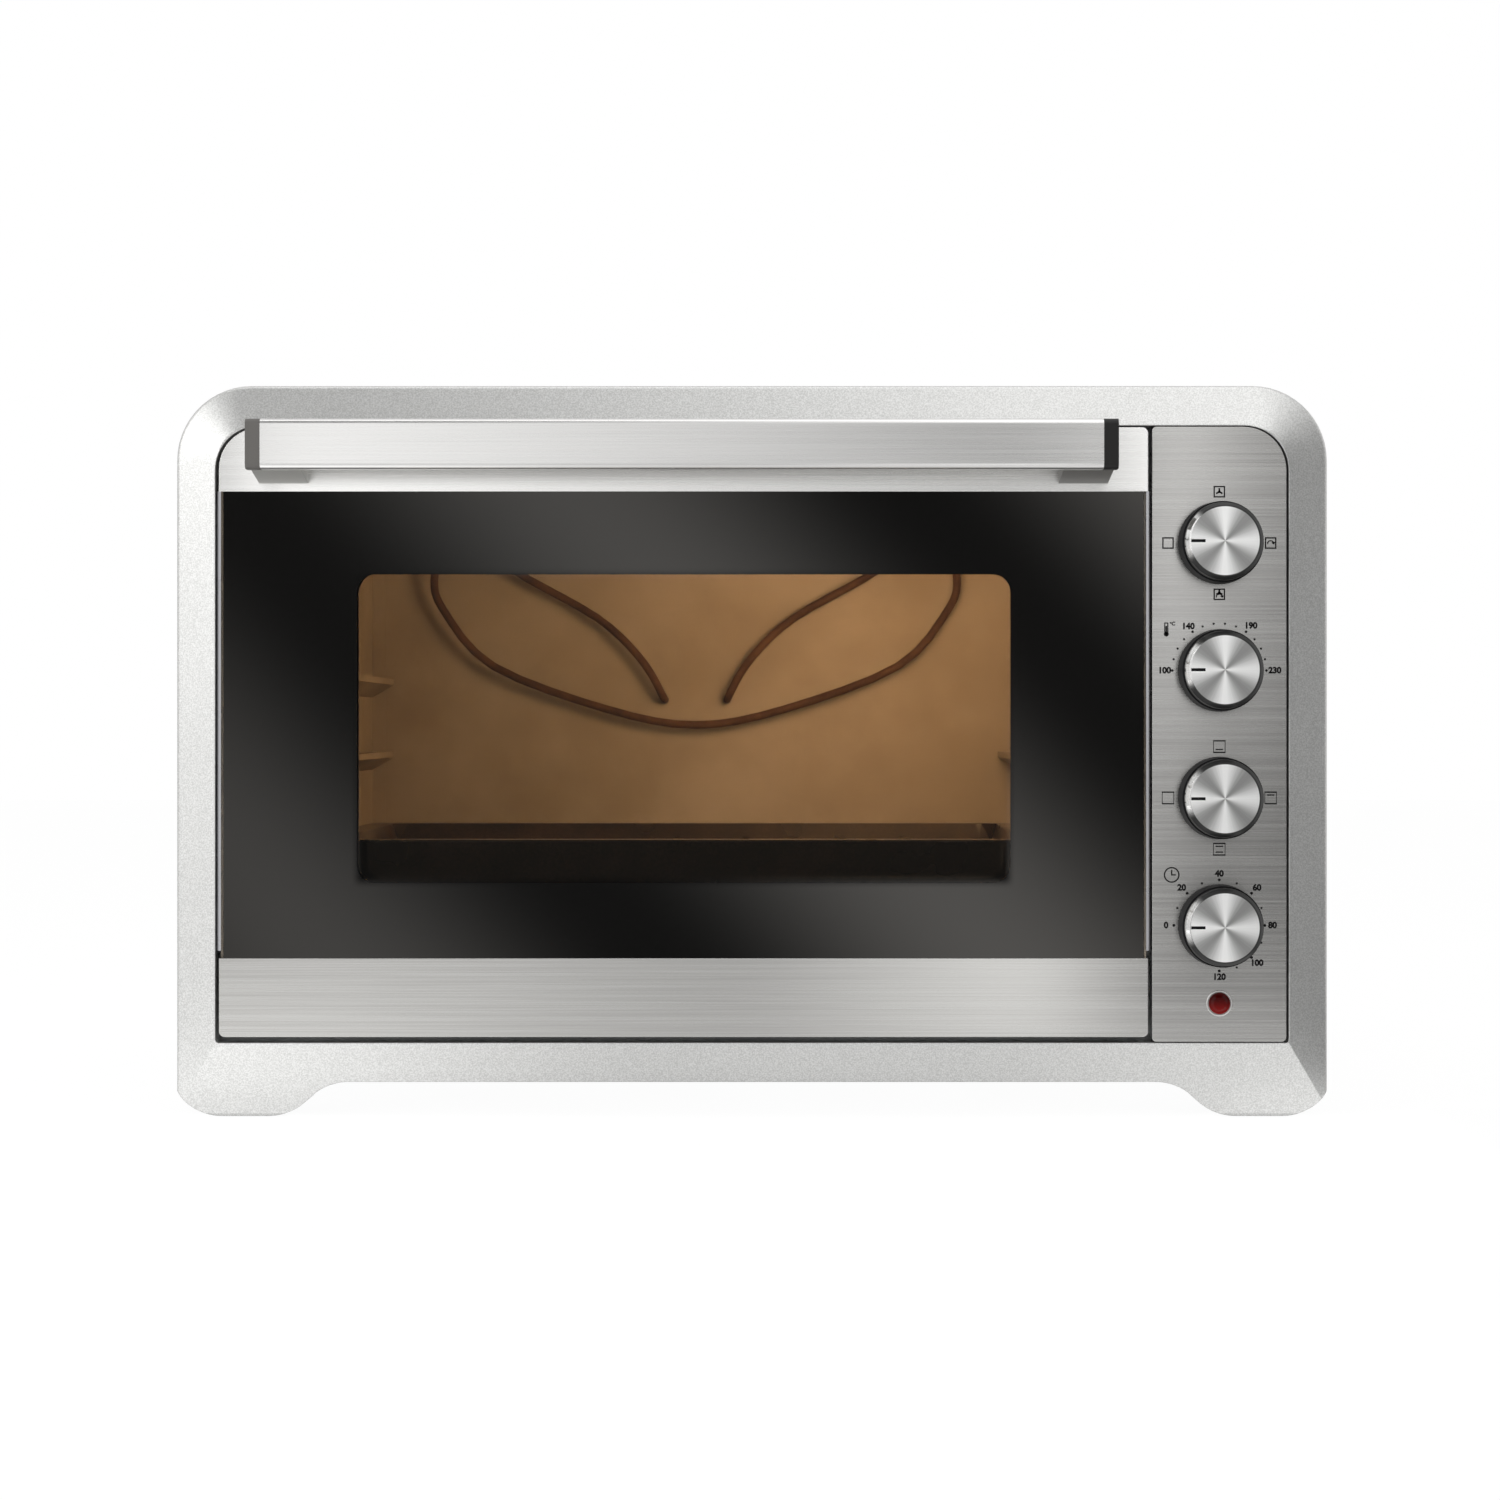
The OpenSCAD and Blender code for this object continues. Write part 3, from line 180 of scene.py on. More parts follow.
brush = {"along": 9, "through": 300, "long": 0.3, "longShare": 0.35, "stretch": 0.6, "turn": 0.25,
         "bump": 0.10, "depth": 0.00006}


def makeBrushed(name, light, dark, rough, fine=2600, edge=0.0006):  # fine lines from left to right
    material, shader, place = newFinish(name)
    scale = (brush["along"], brush["through"], fine)
    lines = place.stretched(scale).noise(1.0, 3.0, 0.65)
    longLines = place.stretched([s * brush["long"] for s in scale]).noise(1.0, 2.0)
    mixed = lines * (1 - brush["longShare"]) + longLines * brush["longShare"]
    setShader(shader, place, base=mixed.step(0.25, 0.75).between(dark, light), metal=1.0,
              rough=mixed * 0.16 + rough, normal=lines.bump(brush["bump"], brush["depth"], edge),
              stretch=brush["stretch"], stretchTurn=brush["turn"])
    return material


caseFinish = {"light": (0.50, 0.50, 0.49), "dark": (0.44, 0.44, 0.43), "rough": 0.42, "metal": 0.3,
              "peel": 420.0, "cloud": 6.0, "bump": 0.12, "depth": 0.0002, "edge": 0.0005}


def makeCasePaint():
    material, shader, place = newFinish("casePaint")
    peel = place.noise(caseFinish["peel"], 2.0)
    cloud = place.noise(caseFinish["cloud"], 3.0)
    setShader(shader, place, base=cloud.between(caseFinish["dark"], caseFinish["light"]),
              metal=caseFinish["metal"], rough=peel * 0.1 + caseFinish["rough"],
              normal=peel.bump(caseFinish["bump"], caseFinish["depth"], caseFinish["edge"]))
    return material


zinc = {"spangle": 160.0, "cloud": 35.0, "cloudShare": 0.45}


def makeZinc(name, light, dark, rough=0.34, metal=0.85):  # plated sheet with faint spangle
    material, shader, place = newFinish(name)
    spangle = place.node("TexVoronoi", {"feature": "F1"}, {"Vector": place, "Scale": zinc["spangle"]}, 1)
    grey = spangle.node("RGBToBW", None, {0: spangle})
    share = zinc["cloudShare"]
    shade = grey * (1 - share) + place.noise(zinc["cloud"], 4.0) * share
    setShader(shader, place, base=shade.step(0.2, 0.8).between(dark, light), metal=metal,
              rough=shade * 0.2 + rough)
    return material


# the caps' colours paint highlights and shade: a painted highlight mixes light and dark, and the rim colour
# is a painted near-black shade
spun = {"light": (0.96, 0.96, 0.95), "dark": (0.31, 0.31, 0.305), "rim": (0.02, 0.02, 0.02), "rough": 0.34,
        "rings": 5200.0, "paintedFans": 4.0, "fine": 14.0, "face": 0.872, "paintedRimShade": 0.05, "paintedHighlightGain": 0.85,
        "rimTurn": 2.95, "rimEdge": (0.72, 0.93)}


# turned in rings about a knob's axis; the fan-shaped highlights of spun metal are painted highlights in the
# colour, set by the angle about the axis
def makeSpun(name, centre, radius):
    material, shader, place = newFinish(name)
    flat = place.stretched((1, 0, 1), centre)
    reach = flat.node("VectorMath", {"operation": "LENGTH"}, {0: flat}, 1)
    turn = flat.maths("ARCTAN2", flat.axis("Z"), flat.axis("X"))
    rings = (reach * spun["rings"]).lines(1.0)
    # painted highlights: bright fan shapes and a vertical bright line, set by the angle about the axis,
    # which make up the cap's face
    paintedFans = (turn * spun["paintedFans"]).cosine() * 0.5 + 0.5
    paintedStreak = (1 - turn.maths("ABSOLUTE", turn.cosine())) ** 14.0
    fine = (turn * spun["fine"]).lines(3.0)
    face = (paintedFans ** 1.15) * 0.95 + paintedStreak * 0.2 + fine * 0.16 + rings * 0.08 - 0.12
    paintedLeftHighlight = (turn - spun["rimTurn"]).cosine().step(*spun["rimEdge"])  # 1 on the rim's left side, where the painted highlight lies
    # painted highlight on the rim, lighter towards its lower right
    low = (turn + 0.7).cosine() * 0.5 + 0.5
    # the rim's painted highlight and painted shade
    bevel = paintedLeftHighlight * spun["paintedHighlightGain"] + (low ** 2.0) * 0.12 + spun["paintedRimShade"] - 0.1
    rimStart = radius * spun["face"]
    edge = reach.step(rimStart - 0.00015, rimStart + 0.00005)
    paintedLight = face * (1 - edge) + bevel * edge
    paintedLight = paintedLight.node("Clamp", None, {0: paintedLight})
    colour = paintedLight.between(spun["dark"], spun["light"])
    # the rim's painted highlight on its left, and painted near-black shade on the rest of it
    paintedCrescent = edge * paintedLeftHighlight
    paintedDarkRim = edge - paintedCrescent
    colour = paintedDarkRim.node("Mix", {"data_type": "RGBA"}, {0: paintedDarkRim * 0.9, 6: colour, 7: (*spun["rim"], 1)}, 2)
    rough = (rings * 0.08 + spun["rough"]) * (1 - paintedCrescent * 0.75)
    setShader(shader, place, base=colour, metal=1.0, rough=rough, normal=rings.bump(0.25, 0.00008, 0.0004))
    return material


def makeChrome(name, colour, rough):
    material, shader, place = newFinish(name)
    smear = place.noise(60.0, 3.0)
    setShader(shader, place, base=smear.between([c * 0.92 for c in colour], colour), metal=1.0,
              rough=smear * 0.12 + rough)
    return material


def makePlastic(name, light, dark, rough, grain=1800, depth=0.00004, specular=0.5):
    material, shader, place = newFinish(name)
    skin = place.noise(grain, 2.0)
    cloud = place.noise(40.0, 2.0)
    setShader(shader, place, base=cloud.between(dark, light), rough=skin * 0.12 + rough,
              normal=skin.bump(0.2, depth, 0.0004), specular=specular)
    return material


# handle caps and posts: colour painted lighter at the left end and darker at the right, as painted light and
# shade
capPaintedLight = {"left": (0.165, 0.158, 0.148), "right": (0.011, 0.0105, 0.010), "rough": 0.42, "specular": 0.25}
postPaintedLight = {"left": (0.46, 0.455, 0.43), "right": (0.185, 0.179, 0.168), "rough": 0.38, "specular": 0.5}


def makePaintedLightPlastic(name, finish):  # painted light: lighter at the left end of the handle, painted shade at the right
    material, shader, place = newFinish(name)
    skin = place.noise(1500.0, 2.0)
    # painted light across the handle: 0 at the left end, 1 at the right
    side = (place.axis("X") + (skin - 0.5) * 0.02).step(-0.2, 0.15)
    setShader(shader, place, base=side.between(finish["left"], finish["right"]),
              rough=skin * 0.12 + finish["rough"], normal=skin.bump(0.2, 0.00004, 0.0004),
              specular=finish["specular"])
    return material


heater = {"dark": (0.060, 0.030, 0.018), "light": (0.150, 0.080, 0.048), "rough": 0.45, "metal": 0.3,
          "knobs": 260.0, "bump": 0.7, "depth": 0.0012}


def makeHeater():
    material, shader, place = newFinish("heaterTube")
    scale = place.noise(90.0, 4.0, 0.6)
    blotch = place.noise(22.0, 2.0)
    shade = (scale * 0.5 + blotch * 0.5).step(0.3, 0.7)
    setShader(shader, place, base=shade.between(heater["dark"], heater["light"]), metal=heater["metal"],
              rough=scale * 0.25 + heater["rough"],
              normal=place.noise(heater["knobs"], 2.0).bump(heater["bump"], heater["depth"]))
    return material


cavity = {"dark": (0.36, 0.31, 0.25), "light": (0.50, 0.45, 0.38), "rough": 0.42, "metal": 0.35}


def makeCavitySheet():  # dull coated sheet, a little stained by heat
    material, shader, place = newFinish("cavitySheet")
    stain = place.noise(9.0, 4.0, 0.6)
    fine = place.noise(300.0, 2.0)
    setShader(shader, place, base=stain.step(0.3, 0.8).between(cavity["dark"], cavity["light"]),
              metal=cavity["metal"], rough=fine * 0.15 + cavity["rough"], normal=fine.bump(0.08, 0.0002))
    return material


enamel = {"dark": (0.012, 0.008, 0.007), "light": (0.05, 0.03, 0.022), "rough": 0.2, "coat": 0.4}


def makeEnamel():
    material, shader, place = newFinish("trayEnamel")
    fleck = place.noise(700.0, 2.0)
    worn = place.noise(25.0, 3.0)
    shade = (fleck * 0.4 + worn * 0.6).step(0.35, 0.8)
    setShader(shader, place, base=shade.between(enamel["dark"], enamel["light"]),
              rough=worn * 0.2 + enamel["rough"], coat=enamel["coat"], normal=fleck.bump(0.06, 0.0002))
    return material


framePaintFinish = makeFramePaint()
panelBrush = makeBrushed("panelBrush", (0.49, 0.485, 0.47), (0.35, 0.345, 0.335), 0.18, edge=0.0005)
# the door's top and bottom trims are one brushed steel: the top copy is painted lighter (painted light,
# making up for the handle's shade), the bottom copy painted darker (painted shade)
topTrimBrushPaintedLight = makeBrushed("topTrimBrushPaintedLight", (0.84, 0.835, 0.82), (0.74, 0.735, 0.72), 0.18)
lowTrimBrushPaintedShade = makeBrushed("lowTrimBrushPaintedShade", (0.51, 0.505, 0.49), (0.40, 0.395, 0.38), 0.18)
barBrush = makeBrushed("barBrush", (0.66, 0.655, 0.645), (0.57, 0.565, 0.555), 0.20, fine=3200, edge=0.0)
casePaint = makeCasePaint()
zincSheet = makeZinc("zincSheet", (0.60, 0.61, 0.61), (0.46, 0.47, 0.48))
motorSteel = makeZinc("motorSteel", (0.46, 0.46, 0.47), (0.34, 0.34, 0.35), 0.28, 0.9)
brightSteel = makeChrome("brightSteel", (0.78, 0.78, 0.77), 0.14)
# the door's side trims take a darker copy of the bright chrome: painted shade
sideSteelPaintedShade = makeChrome("sideSteelPaintedShade", (0.46, 0.46, 0.48), 0.22)
blackPlastic = makePlastic("blackPlastic", (0.008, 0.008, 0.009), (0.004, 0.004, 0.005), 0.46, specular=0.12)
rubberBlack = makePlastic("rubberBlack", (0.030, 0.030, 0.030), (0.018, 0.018, 0.018), 0.72, 900, 0.0001)
ceramic = makePlastic("ceramic", (0.80, 0.78, 0.72), (0.70, 0.68, 0.62), 0.35, 500, 0.0001)
heaterTube = makeHeater()
cavitySheet = makeCavitySheet()
trayEnamel = makeEnamel()
print("metal and plastic finishes made")


# glass, lens and lamp

doorGlass = {"tint": (0.80, 0.72, 0.62), "rough": 0.0, "ior": 1.5}


def makeDoorGlass():
    material, shader, place = newFinish("doorGlass")
    haze = place.noise(7.0, 3.0)
    setShader(shader, place, base=haze.between([c * 0.96 for c in doorGlass["tint"]], doorGlass["tint"]),
              rough=doorGlass["rough"], clear=1.0, ior=doorGlass["ior"])
    return material


innerGlass = {"dark": (0.90, 0.90, 0.86), "light": (0.97, 0.98, 0.95), "rough": 0.0, "ior": 1.48}


def makeInnerGlass():
    material, shader, place = newFinish("innerGlass")
    film = place.noise(11.0, 3.0)
    setShader(shader, place, base=film.between(innerGlass["dark"], innerGlass["light"]),
              rough=innerGlass["rough"], clear=1.0, ior=innerGlass["ior"])
    return material


# the lens's darker red is painted shade towards its top
lens = {"red": (0.29, 0.008, 0.007), "paintedShadeRed": (0.03, 0.001, 0.001), "rough": 0.12, "specular": 0.15,
        "ringGap": 0.0003, "ringWire": 0.00045}


def makeLens():
    material, shader, place = newFinish("redLens")
    low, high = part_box("indicator_lens")
    centre = (low + high) / 2
    depth = centre.z - place.axis("Z")
    glint = place.noise(900.0, 1.0)
    # painted shade: the lens is painted deeper red towards its top
    red = (glint * 0.25 + depth.step(-0.003, 0.0045) * 0.75).between(lens["paintedShadeRed"], lens["red"])
    setShader(shader, place, base=red, rough=glint * 0.1 + lens["rough"], specular=lens["specular"])
    return material


lamp = {"glass": (0.95, 0.90, 0.80), "glow": (1.0, 0.66, 0.37), "power": 2.5, "ribs": 260, "watts": 2.9,
        "spread": 0.075, "ahead": 0.08}
rodGlow = {"glow": (1.0, 0.66, 0.42), "watts": 0.30, "size": (0.18, 0.12), "ahead": 0.10, "drop": 0.012,
           "right": 0.10, "tilt": 40}


def makeLampGlass():
    material, shader, place = newFinish("lampGlow")
    ribs = place.stretched((0, lamp["ribs"], lamp["ribs"])).noise(1.0, 1.0)
    setShader(shader, place, base=lamp["glass"], rough=0.25, glowPower=lamp["power"],
              glow=ribs.between([c * 0.8 for c in lamp["glow"]], lamp["glow"]))
    return material


def warmLight(name, kind, light, place):  # lights the cavity and isn't seen itself
    data = bpy.data.lights.new(name, kind)
    data.energy = light["watts"]
    data.color = light["glow"]
    made = bpy.data.objects.new(name, data)
    made.location = place
    made.visible_camera = False
    made.visible_transmission = False
    made.visible_glossy = False
    bpy.context.scene.collection.objects.link(made)
    return made


def addLampLight():  # just in front of the lamp's cover
    low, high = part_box("lamp_glass")
    made = warmLight("cavityLamp", "POINT", lamp,
                     (low.x - lamp["ahead"], (low.y + high.y) / 2, (low.z + high.z) / 2))
    made.data.shadow_soft_size = lamp["spread"]


def addRodGlow():  # the soft warmth that the upper rods throw on the back wall
    low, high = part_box("cavity_ceiling")
    made = warmLight("rodGlow", "AREA", rodGlow, ((low.x + high.x) / 2 + rodGlow["right"],
                                                  low.y + rodGlow["ahead"], low.z - rodGlow["drop"]))
    made.data.shape = "RECTANGLE"
    made.data.size, made.data.size_y = rodGlow["size"]
    made.rotation_euler = (math.radians(rodGlow["tilt"]), 0, 0)


doorGlassFinish = makeDoorGlass()
innerGlassFinish = makeInnerGlass()
redLens = makeLens()
lampGlow = makeLampGlass()
addLampLight()
addRodGlow()
print("glass and lamp made")


# CAD nodes take their finishes

dress(framePaintFinish, "front_frame")
dress(casePaint, "outer_shell")
dress(zincSheet, "back_panel", "base_plate", "front_plate", "heat_shield", "spit_bracket", "control_bracket",
      "hinge_brackets", "door_pan", "glass_clips")
dress(cavitySheet, "cavity_ceiling", "cavity_floor", "cavity_back_wall", "cavity_left_wall",
      "cavity_right_wall")
dress(heaterTube, "heater_rods", "rear_heater")
dress(ceramic, "heater_insulators", "lamp_holder", "function_switch", "heat_switch", "indicator_body")
dress(motorSteel, "fan_motor", "fan_wheel", "spit_motor", "spit_socket", "thermostat", "timer")
dress(lampGlow, "lamp_glass")
dress(panelBrush, "control_panel")
# the trims take the painted-light and painted-shade copies of one brushed steel
dress(topTrimBrushPaintedLight, "door_top_trim")
dress(lowTrimBrushPaintedShade, "door_bottom_trim")
dress(barBrush, "handle_bar")
# side trims: chrome painted darker, as painted shade
dress(sideSteelPaintedShade, "door_side_trims")
dress(brightSteel, "hinge_pins", "hinge_springs", "casing_screws", "handle_screws", "function_shaft",
      "thermostat_shaft", "heat_shaft", "timer_shaft")
dress(blackPlastic, "cord_gland", "function_knob", "thermostat_knob", "heat_knob", "timer_knob")
# the handle's caps and posts take their painted light and shade
dress(makePaintedLightPlastic("capPlasticPaintedLight", capPaintedLight), "handle_end_caps")
dress(makePaintedLightPlastic("postPlasticPaintedLight", postPaintedLight), "handle_posts")
dress(rubberBlack, "rear_feet", "front_foot_pads")
dress(doorGlassFinish, "door_glass")
dress(innerGlassFinish, "inner_glass")
dress(redLens, "indicator_lens")
dress(trayEnamel, "baking_tray")
knobCentres = {}
for knobName in ("function", "thermostat", "heat", "timer"):
    low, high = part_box(knobName + "_knob_cap")
    knobCentres[knobName] = (low + high) / 2
    # each cap's material carries painted highlights and the painted shade of its rim
    finish = makeSpun(knobName + "Spun", knobCentres[knobName], (high.x - low.x) / 2)
    dress(finish, knobName + "_knob_cap")
print("CAD nodes dressed")


# small modelling helpers

def clearSelection():
    if bpy.context.object and bpy.context.object.mode != "OBJECT":
        bpy.ops.object.mode_set(mode="OBJECT")
    bpy.ops.object.select_all(action="DESELECT")


def activeOnly(piece):
    clearSelection()
    piece.select_set(True)
    bpy.context.view_layer.objects.active = piece


def applyModifiers(piece):
    activeOnly(piece)
    for modifier in list(piece.modifiers):
        bpy.ops.object.modifier_apply(modifier=modifier.name)


def joinPieces(pieces, name):
    activeOnly(pieces[0])
    for piece in pieces:
        piece.select_set(True)
    bpy.ops.object.join()
    joined = bpy.context.object
    joined.name = name
    joined.data.name = name
    return joined


def settle(piece):  # its place goes into its mesh
    activeOnly(piece)
    bpy.ops.object.transform_apply(location=True, rotation=True, scale=True)


def addPiece(piece, body, material):
    piece.data.materials.clear()
    piece.data.materials.append(material)
    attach(piece, body)


def roundedSheet(width, height, radius, thickness, segments=10):  # lies flat, centred, with rounded corners
    clearSelection()
    bpy.ops.mesh.primitive_plane_add(size=1)
    sheet = bpy.context.object
    sheet.scale = (width, height, 1)
    settle(sheet)
    bpy.ops.object.mode_set(mode="EDIT")
    bpy.ops.mesh.select_all(action="SELECT")
    bpy.ops.mesh.bevel(offset=radius, segments=segments, affect="VERTICES")
    bpy.ops.mesh.select_all(action="SELECT")
    bpy.ops.mesh.extrude_region_move(TRANSFORM_OT_translate={"value": (0, 0, -thickness)})
    bpy.ops.mesh.select_all(action="SELECT")
    bpy.ops.mesh.normals_make_consistent(inside=False)
    bpy.ops.object.mode_set(mode="OBJECT")
    return sheet


# glossy black border printed on the door's glass

border = {"windowWidth": 0.339, "windowHeight": 0.160, "windowRadius": 0.0092, "lift": 0.0392,
          "thick": 0.00012, "gap": 0.00003, "margin": 0.0015, "radius": 0.001, "cutDepth": 0.002,
          "dark": (0.002, 0.002, 0.002), "light": (0.004, 0.004, 0.004), "gloss": 0.868,
          "glossTint": (1.0, 0.96, 0.905)}


def makeBorder():
    low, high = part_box("door_glass")
    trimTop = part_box("door_bottom_trim")[1].z
    middle = (low + high) / 2
    width = high.x - low.x - 2 * border["margin"]
    height = high.z - low.z - 2 * border["margin"]
    sheet = roundedSheet(width, height, border["radius"], border["thick"], 3)
    sheet.name = "glassBorder"
    hole = roundedSheet(border["windowWidth"], border["windowHeight"], border["windowRadius"],
                        border["cutDepth"])
    hole.location = (0, trimTop + border["lift"] + border["windowHeight"] / 2 - middle.z,
                     border["cutDepth"] / 2)
    settle(hole)
    activeOnly(sheet)
    cut = sheet.modifiers.new("window", "BOOLEAN")
    cut.operation = "DIFFERENCE"
    cut.solver = "EXACT"
    cut.object = hole
    applyModifiers(sheet)
    bpy.data.objects.remove(hole)
    sheet.rotation_euler = (math.radians(90), 0, 0)
    sheet.location = (middle.x, low.y - border["gap"] - border["thick"], middle.z)
    settle(sheet)
    return sheet


def makeBorderInk():
    material, shader, place = newFinish("borderInk")
    speck = place.noise(500.0, 2.0)
    setShader(shader, place, base=speck.between(border["dark"], border["light"]), rough=0.0,
              specular=border["gloss"], specularTint=border["glossTint"])
    return material


addPiece(makeBorder(), "door", makeBorderInk())
print("glass border made")


# pale ring round the indicator's lens

def makeLensRing():
    low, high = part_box("indicator_lens")
    centre = (low + high) / 2
    clearSelection()
    bpy.ops.mesh.primitive_torus_add(major_segments=48, minor_segments=12, minor_radius=lens["ringWire"],
                                     major_radius=(high.x - low.x) / 2 + lens["ringGap"] + lens["ringWire"])
    made = bpy.context.object
    made.name = "lensRing"
    made.rotation_euler = (math.radians(90), 0, 0)
    made.location = (centre.x, frontY, centre.z)
    settle(made)
    bpy.ops.object.mode_set(mode="EDIT")
    bpy.ops.mesh.select_all(action="SELECT")
    bpy.ops.mesh.bisect(plane_co=(0, frontY, 0), plane_no=(0, 1, 0), use_fill=True, clear_outer=True)
    bpy.ops.object.mode_set(mode="OBJECT")
    bpy.ops.object.shade_smooth_by_angle(angle=math.radians(40))
    return made


addPiece(makeLensRing(), "cabinet", makeChrome("ringSteel", (0.62, 0.61, 0.60), 0.3))
print("lens ring made")


# printed dials: drawn flat about each knob's centre, then stood on the panel

printing = {"lift": 0.00002, "thick": 0.00003, "line": 0.0007, "ring": 0.0266, "digit": 0.0044,
            "bolder": 0.05, "dot": 0.00058, "sign": 0.0060, "dark": (0.003, 0.003, 0.003),
            "light": (0.008, 0.008, 0.008)}


def dot(x, z, radius, sides=20):
    clearSelection()
    bpy.ops.mesh.primitive_circle_add(vertices=sides, radius=radius, fill_type="NGON", location=(x, z, 0))
    made = bpy.context.object
    settle(made)
    return made


def stroke(x0, z0, x1, z1, width):
    clearSelection()
    bpy.ops.mesh.primitive_plane_add(size=1)
    made = bpy.context.object
    made.scale = (math.hypot(x1 - x0, z1 - z0) + width * 0.6, width, 1)
    made.rotation_euler = (0, 0, math.atan2(z1 - z0, x1 - x0))
    made.location = ((x0 + x1) / 2, (z0 + z1) / 2, 0)
    settle(made)
    return made


def hollow(made, width):  # keeps only a line along the outline
    activeOnly(made)
    bpy.ops.object.mode_set(mode="EDIT")
    bpy.ops.mesh.select_all(action="SELECT")
    bpy.ops.mesh.inset(thickness=width, use_even_offset=True)
    bpy.ops.mesh.delete(type="FACE")
    bpy.ops.object.mode_set(mode="OBJECT")
    return made


def ring(x, z, radius, width, sides=28):
    return hollow(dot(x, z, radius, sides), width)


def square(x, z, size, width):
    clearSelection()
    bpy.ops.mesh.primitive_plane_add(size=1)
    made = bpy.context.object
    made.scale = (size, size, 1)
    made.location = (x, z, 0)
    settle(made)
    return hollow(made, width)


def digits(text, x, z, size):
    clearSelection()
    bpy.ops.object.text_add()
    made = bpy.context.object
    made.data.body = text
    made.data.size = size
    made.data.align_x = "CENTER"
    made.data.align_y = "CENTER"
    made.data.resolution_u = 4
    made.data.offset = size * printing["bolder"]
    bpy.ops.object.convert(target="MESH")
    made = bpy.context.object
    made.location = (x, z, 0)
    settle(made)
    return made


def polar(angle, radius):  # angle in degrees, clockwise from nine o'clock
    turn = math.radians(180 - angle)
    return radius * math.cos(turn), radius * math.sin(turn)


fanPrint = {"blade": 0.0016, "hub": 1.3, "bladeWidth": 1.6, "line": 0.8, "raise": 0.0009}
turnPrint = {"halfWidth": 0.0016, "height": 0.0012, "line": 0.8, "lower": 0.0011}


def fanSign(x, z, line):  # three blades
    made = [dot(x, z, line * fanPrint["hub"], 12)]
    for k in range(3):
        turn = math.radians(90 + 120 * k)
        tip = (x + fanPrint["blade"] * math.cos(turn), z + fanPrint["blade"] * math.sin(turn))
        made.append(stroke(x, z, *tip, line * fanPrint["bladeWidth"]))
    return made


def turnSign(x, z, line):  # an arch with a head, for the turning spit
    arch = []
    for k in range(7):
        turn = math.radians(200 - 36 * k)
        arch.append((x + turnPrint["halfWidth"] * math.cos(turn), z + turnPrint["height"] * math.sin(turn)))
    made = [stroke(*start, *end, line) for start, end in zip(arch, arch[1:])]
    made.append(stroke(x + 0.0015, z - 0.0004, x + 0.0008, z + 0.0002, line))
    made.append(stroke(x + 0.0015, z - 0.0004, x + 0.0021, z + 0.0003, line))
    return made


def functionDial():  # plain, fan, spit, and both
    line, reach = printing["line"], printing["ring"]
    made = []
    for k in range(4):
        x, z = polar(90 * k, reach)
        made.append(square(x, z, printing["sign"], line))
        if k in (1, 3):
            made += fanSign(x, z + (fanPrint["raise"] if k == 3 else 0), line * fanPrint["line"])
        if k in (2, 3):
            made += turnSign(x, z - (turnPrint["lower"] if k == 3 else 0), line * turnPrint["line"])
    return made


rodPrint = {"dash": 0.0004, "pitch": 0.0013, "away": 0.0015, "thin": 0.5}


def ovenSign(x, z, size, line):  # a square with firm top and bottom and thin sides
    half = size / 2
    thin = line * rodPrint["thin"]
    made = [stroke(x - half, z + side * half, x + half, z + side * half, line) for side in (-1, 1)]
    made += [stroke(x + side * half, z - half, x + side * half, z + half, thin) for side in (-1, 1)]
    return made


def dashes(x, z, line):  # a heating rod
    middles = [x + k * rodPrint["pitch"] for k in (-1, 0, 1)]
    return [stroke(middle - rodPrint["dash"], z, middle + rodPrint["dash"], z, line) for middle in middles]


def heatDial():  # off, lower rod, upper rod, and both
    line, reach = printing["line"], printing["ring"]
    made = []
    for k in range(4):
        x, z = polar(90 * k, reach)
        made += ovenSign(x, z, printing["sign"], line)
        if k in (1, 3):
            made += dashes(x, z - rodPrint["away"], line)
        if k in (2, 3):
            made += dashes(x, z + rodPrint["away"], line)
    return made


thermostatPrint = {"labels": {0: "100", 4: "140", 9: "190", 13: "230"}, "dots": 14, "reach": 0.0244,
                   "labelReach": {0: 0.0284, 4: 0.0284, 9: 0.0288, 13: 0.0288}, "bigDot": 1.2,
                   "lower": {0: 0, 4: 0.0005, 9: 0.0005, 13: 0}, "sign": (-0.0275, 0.0213)}


def thermometerSign(x, z, line):  # a bulb and tube, with the degree sign
    half, low, top = 0.0008, z - 0.0016, z + 0.0033
    made = [dot(x, z - 0.0024, 0.0013), stroke(x, z - 0.0024, x, z + 0.0015, line * 1.2)]
    made += [stroke(x + side * half, low, x + side * half, top, line * 0.8) for side in (-1, 1)]
    made.append(stroke(x - half, top, x + half, top, line * 0.8))
    made.append(ring(x + 0.0023, z + 0.0034, 0.0005, line * 0.5, 14))
    made.append(digits("C", x + 0.0037, z + 0.0029, 0.0026))
    return made


def thermostatDial():
    made = []
    labels, last = thermostatPrint["labels"], thermostatPrint["dots"] - 1
    for k in range(thermostatPrint["dots"]):
        angle = k * 180 / last
        x, z = polar(angle, thermostatPrint["reach"])
        made.append(dot(x, z, printing["dot"] * (thermostatPrint["bigDot"] if k in labels else 1.0)))
        if k in labels:
            x, z = polar(angle, thermostatPrint["labelReach"][k])
            made.append(digits(labels[k], x, z - thermostatPrint["lower"][k], printing["digit"]))
    made += thermometerSign(*thermostatPrint["sign"], printing["line"])
    return made


timerPrint = {"labels": {0: "0", 2: "20", 4: "40", 6: "60", 8: "80", 10: "100", 12: "120"}, "dots": 13,
              "pitch": 22.5, "reach": 0.0236, "labelReach": 0.0276, "nearReach": 0.0268, "near": (4, 12),
              "bigDot": 1.3, "sign": (-0.0247, 0.0262), "clock": 0.0041}


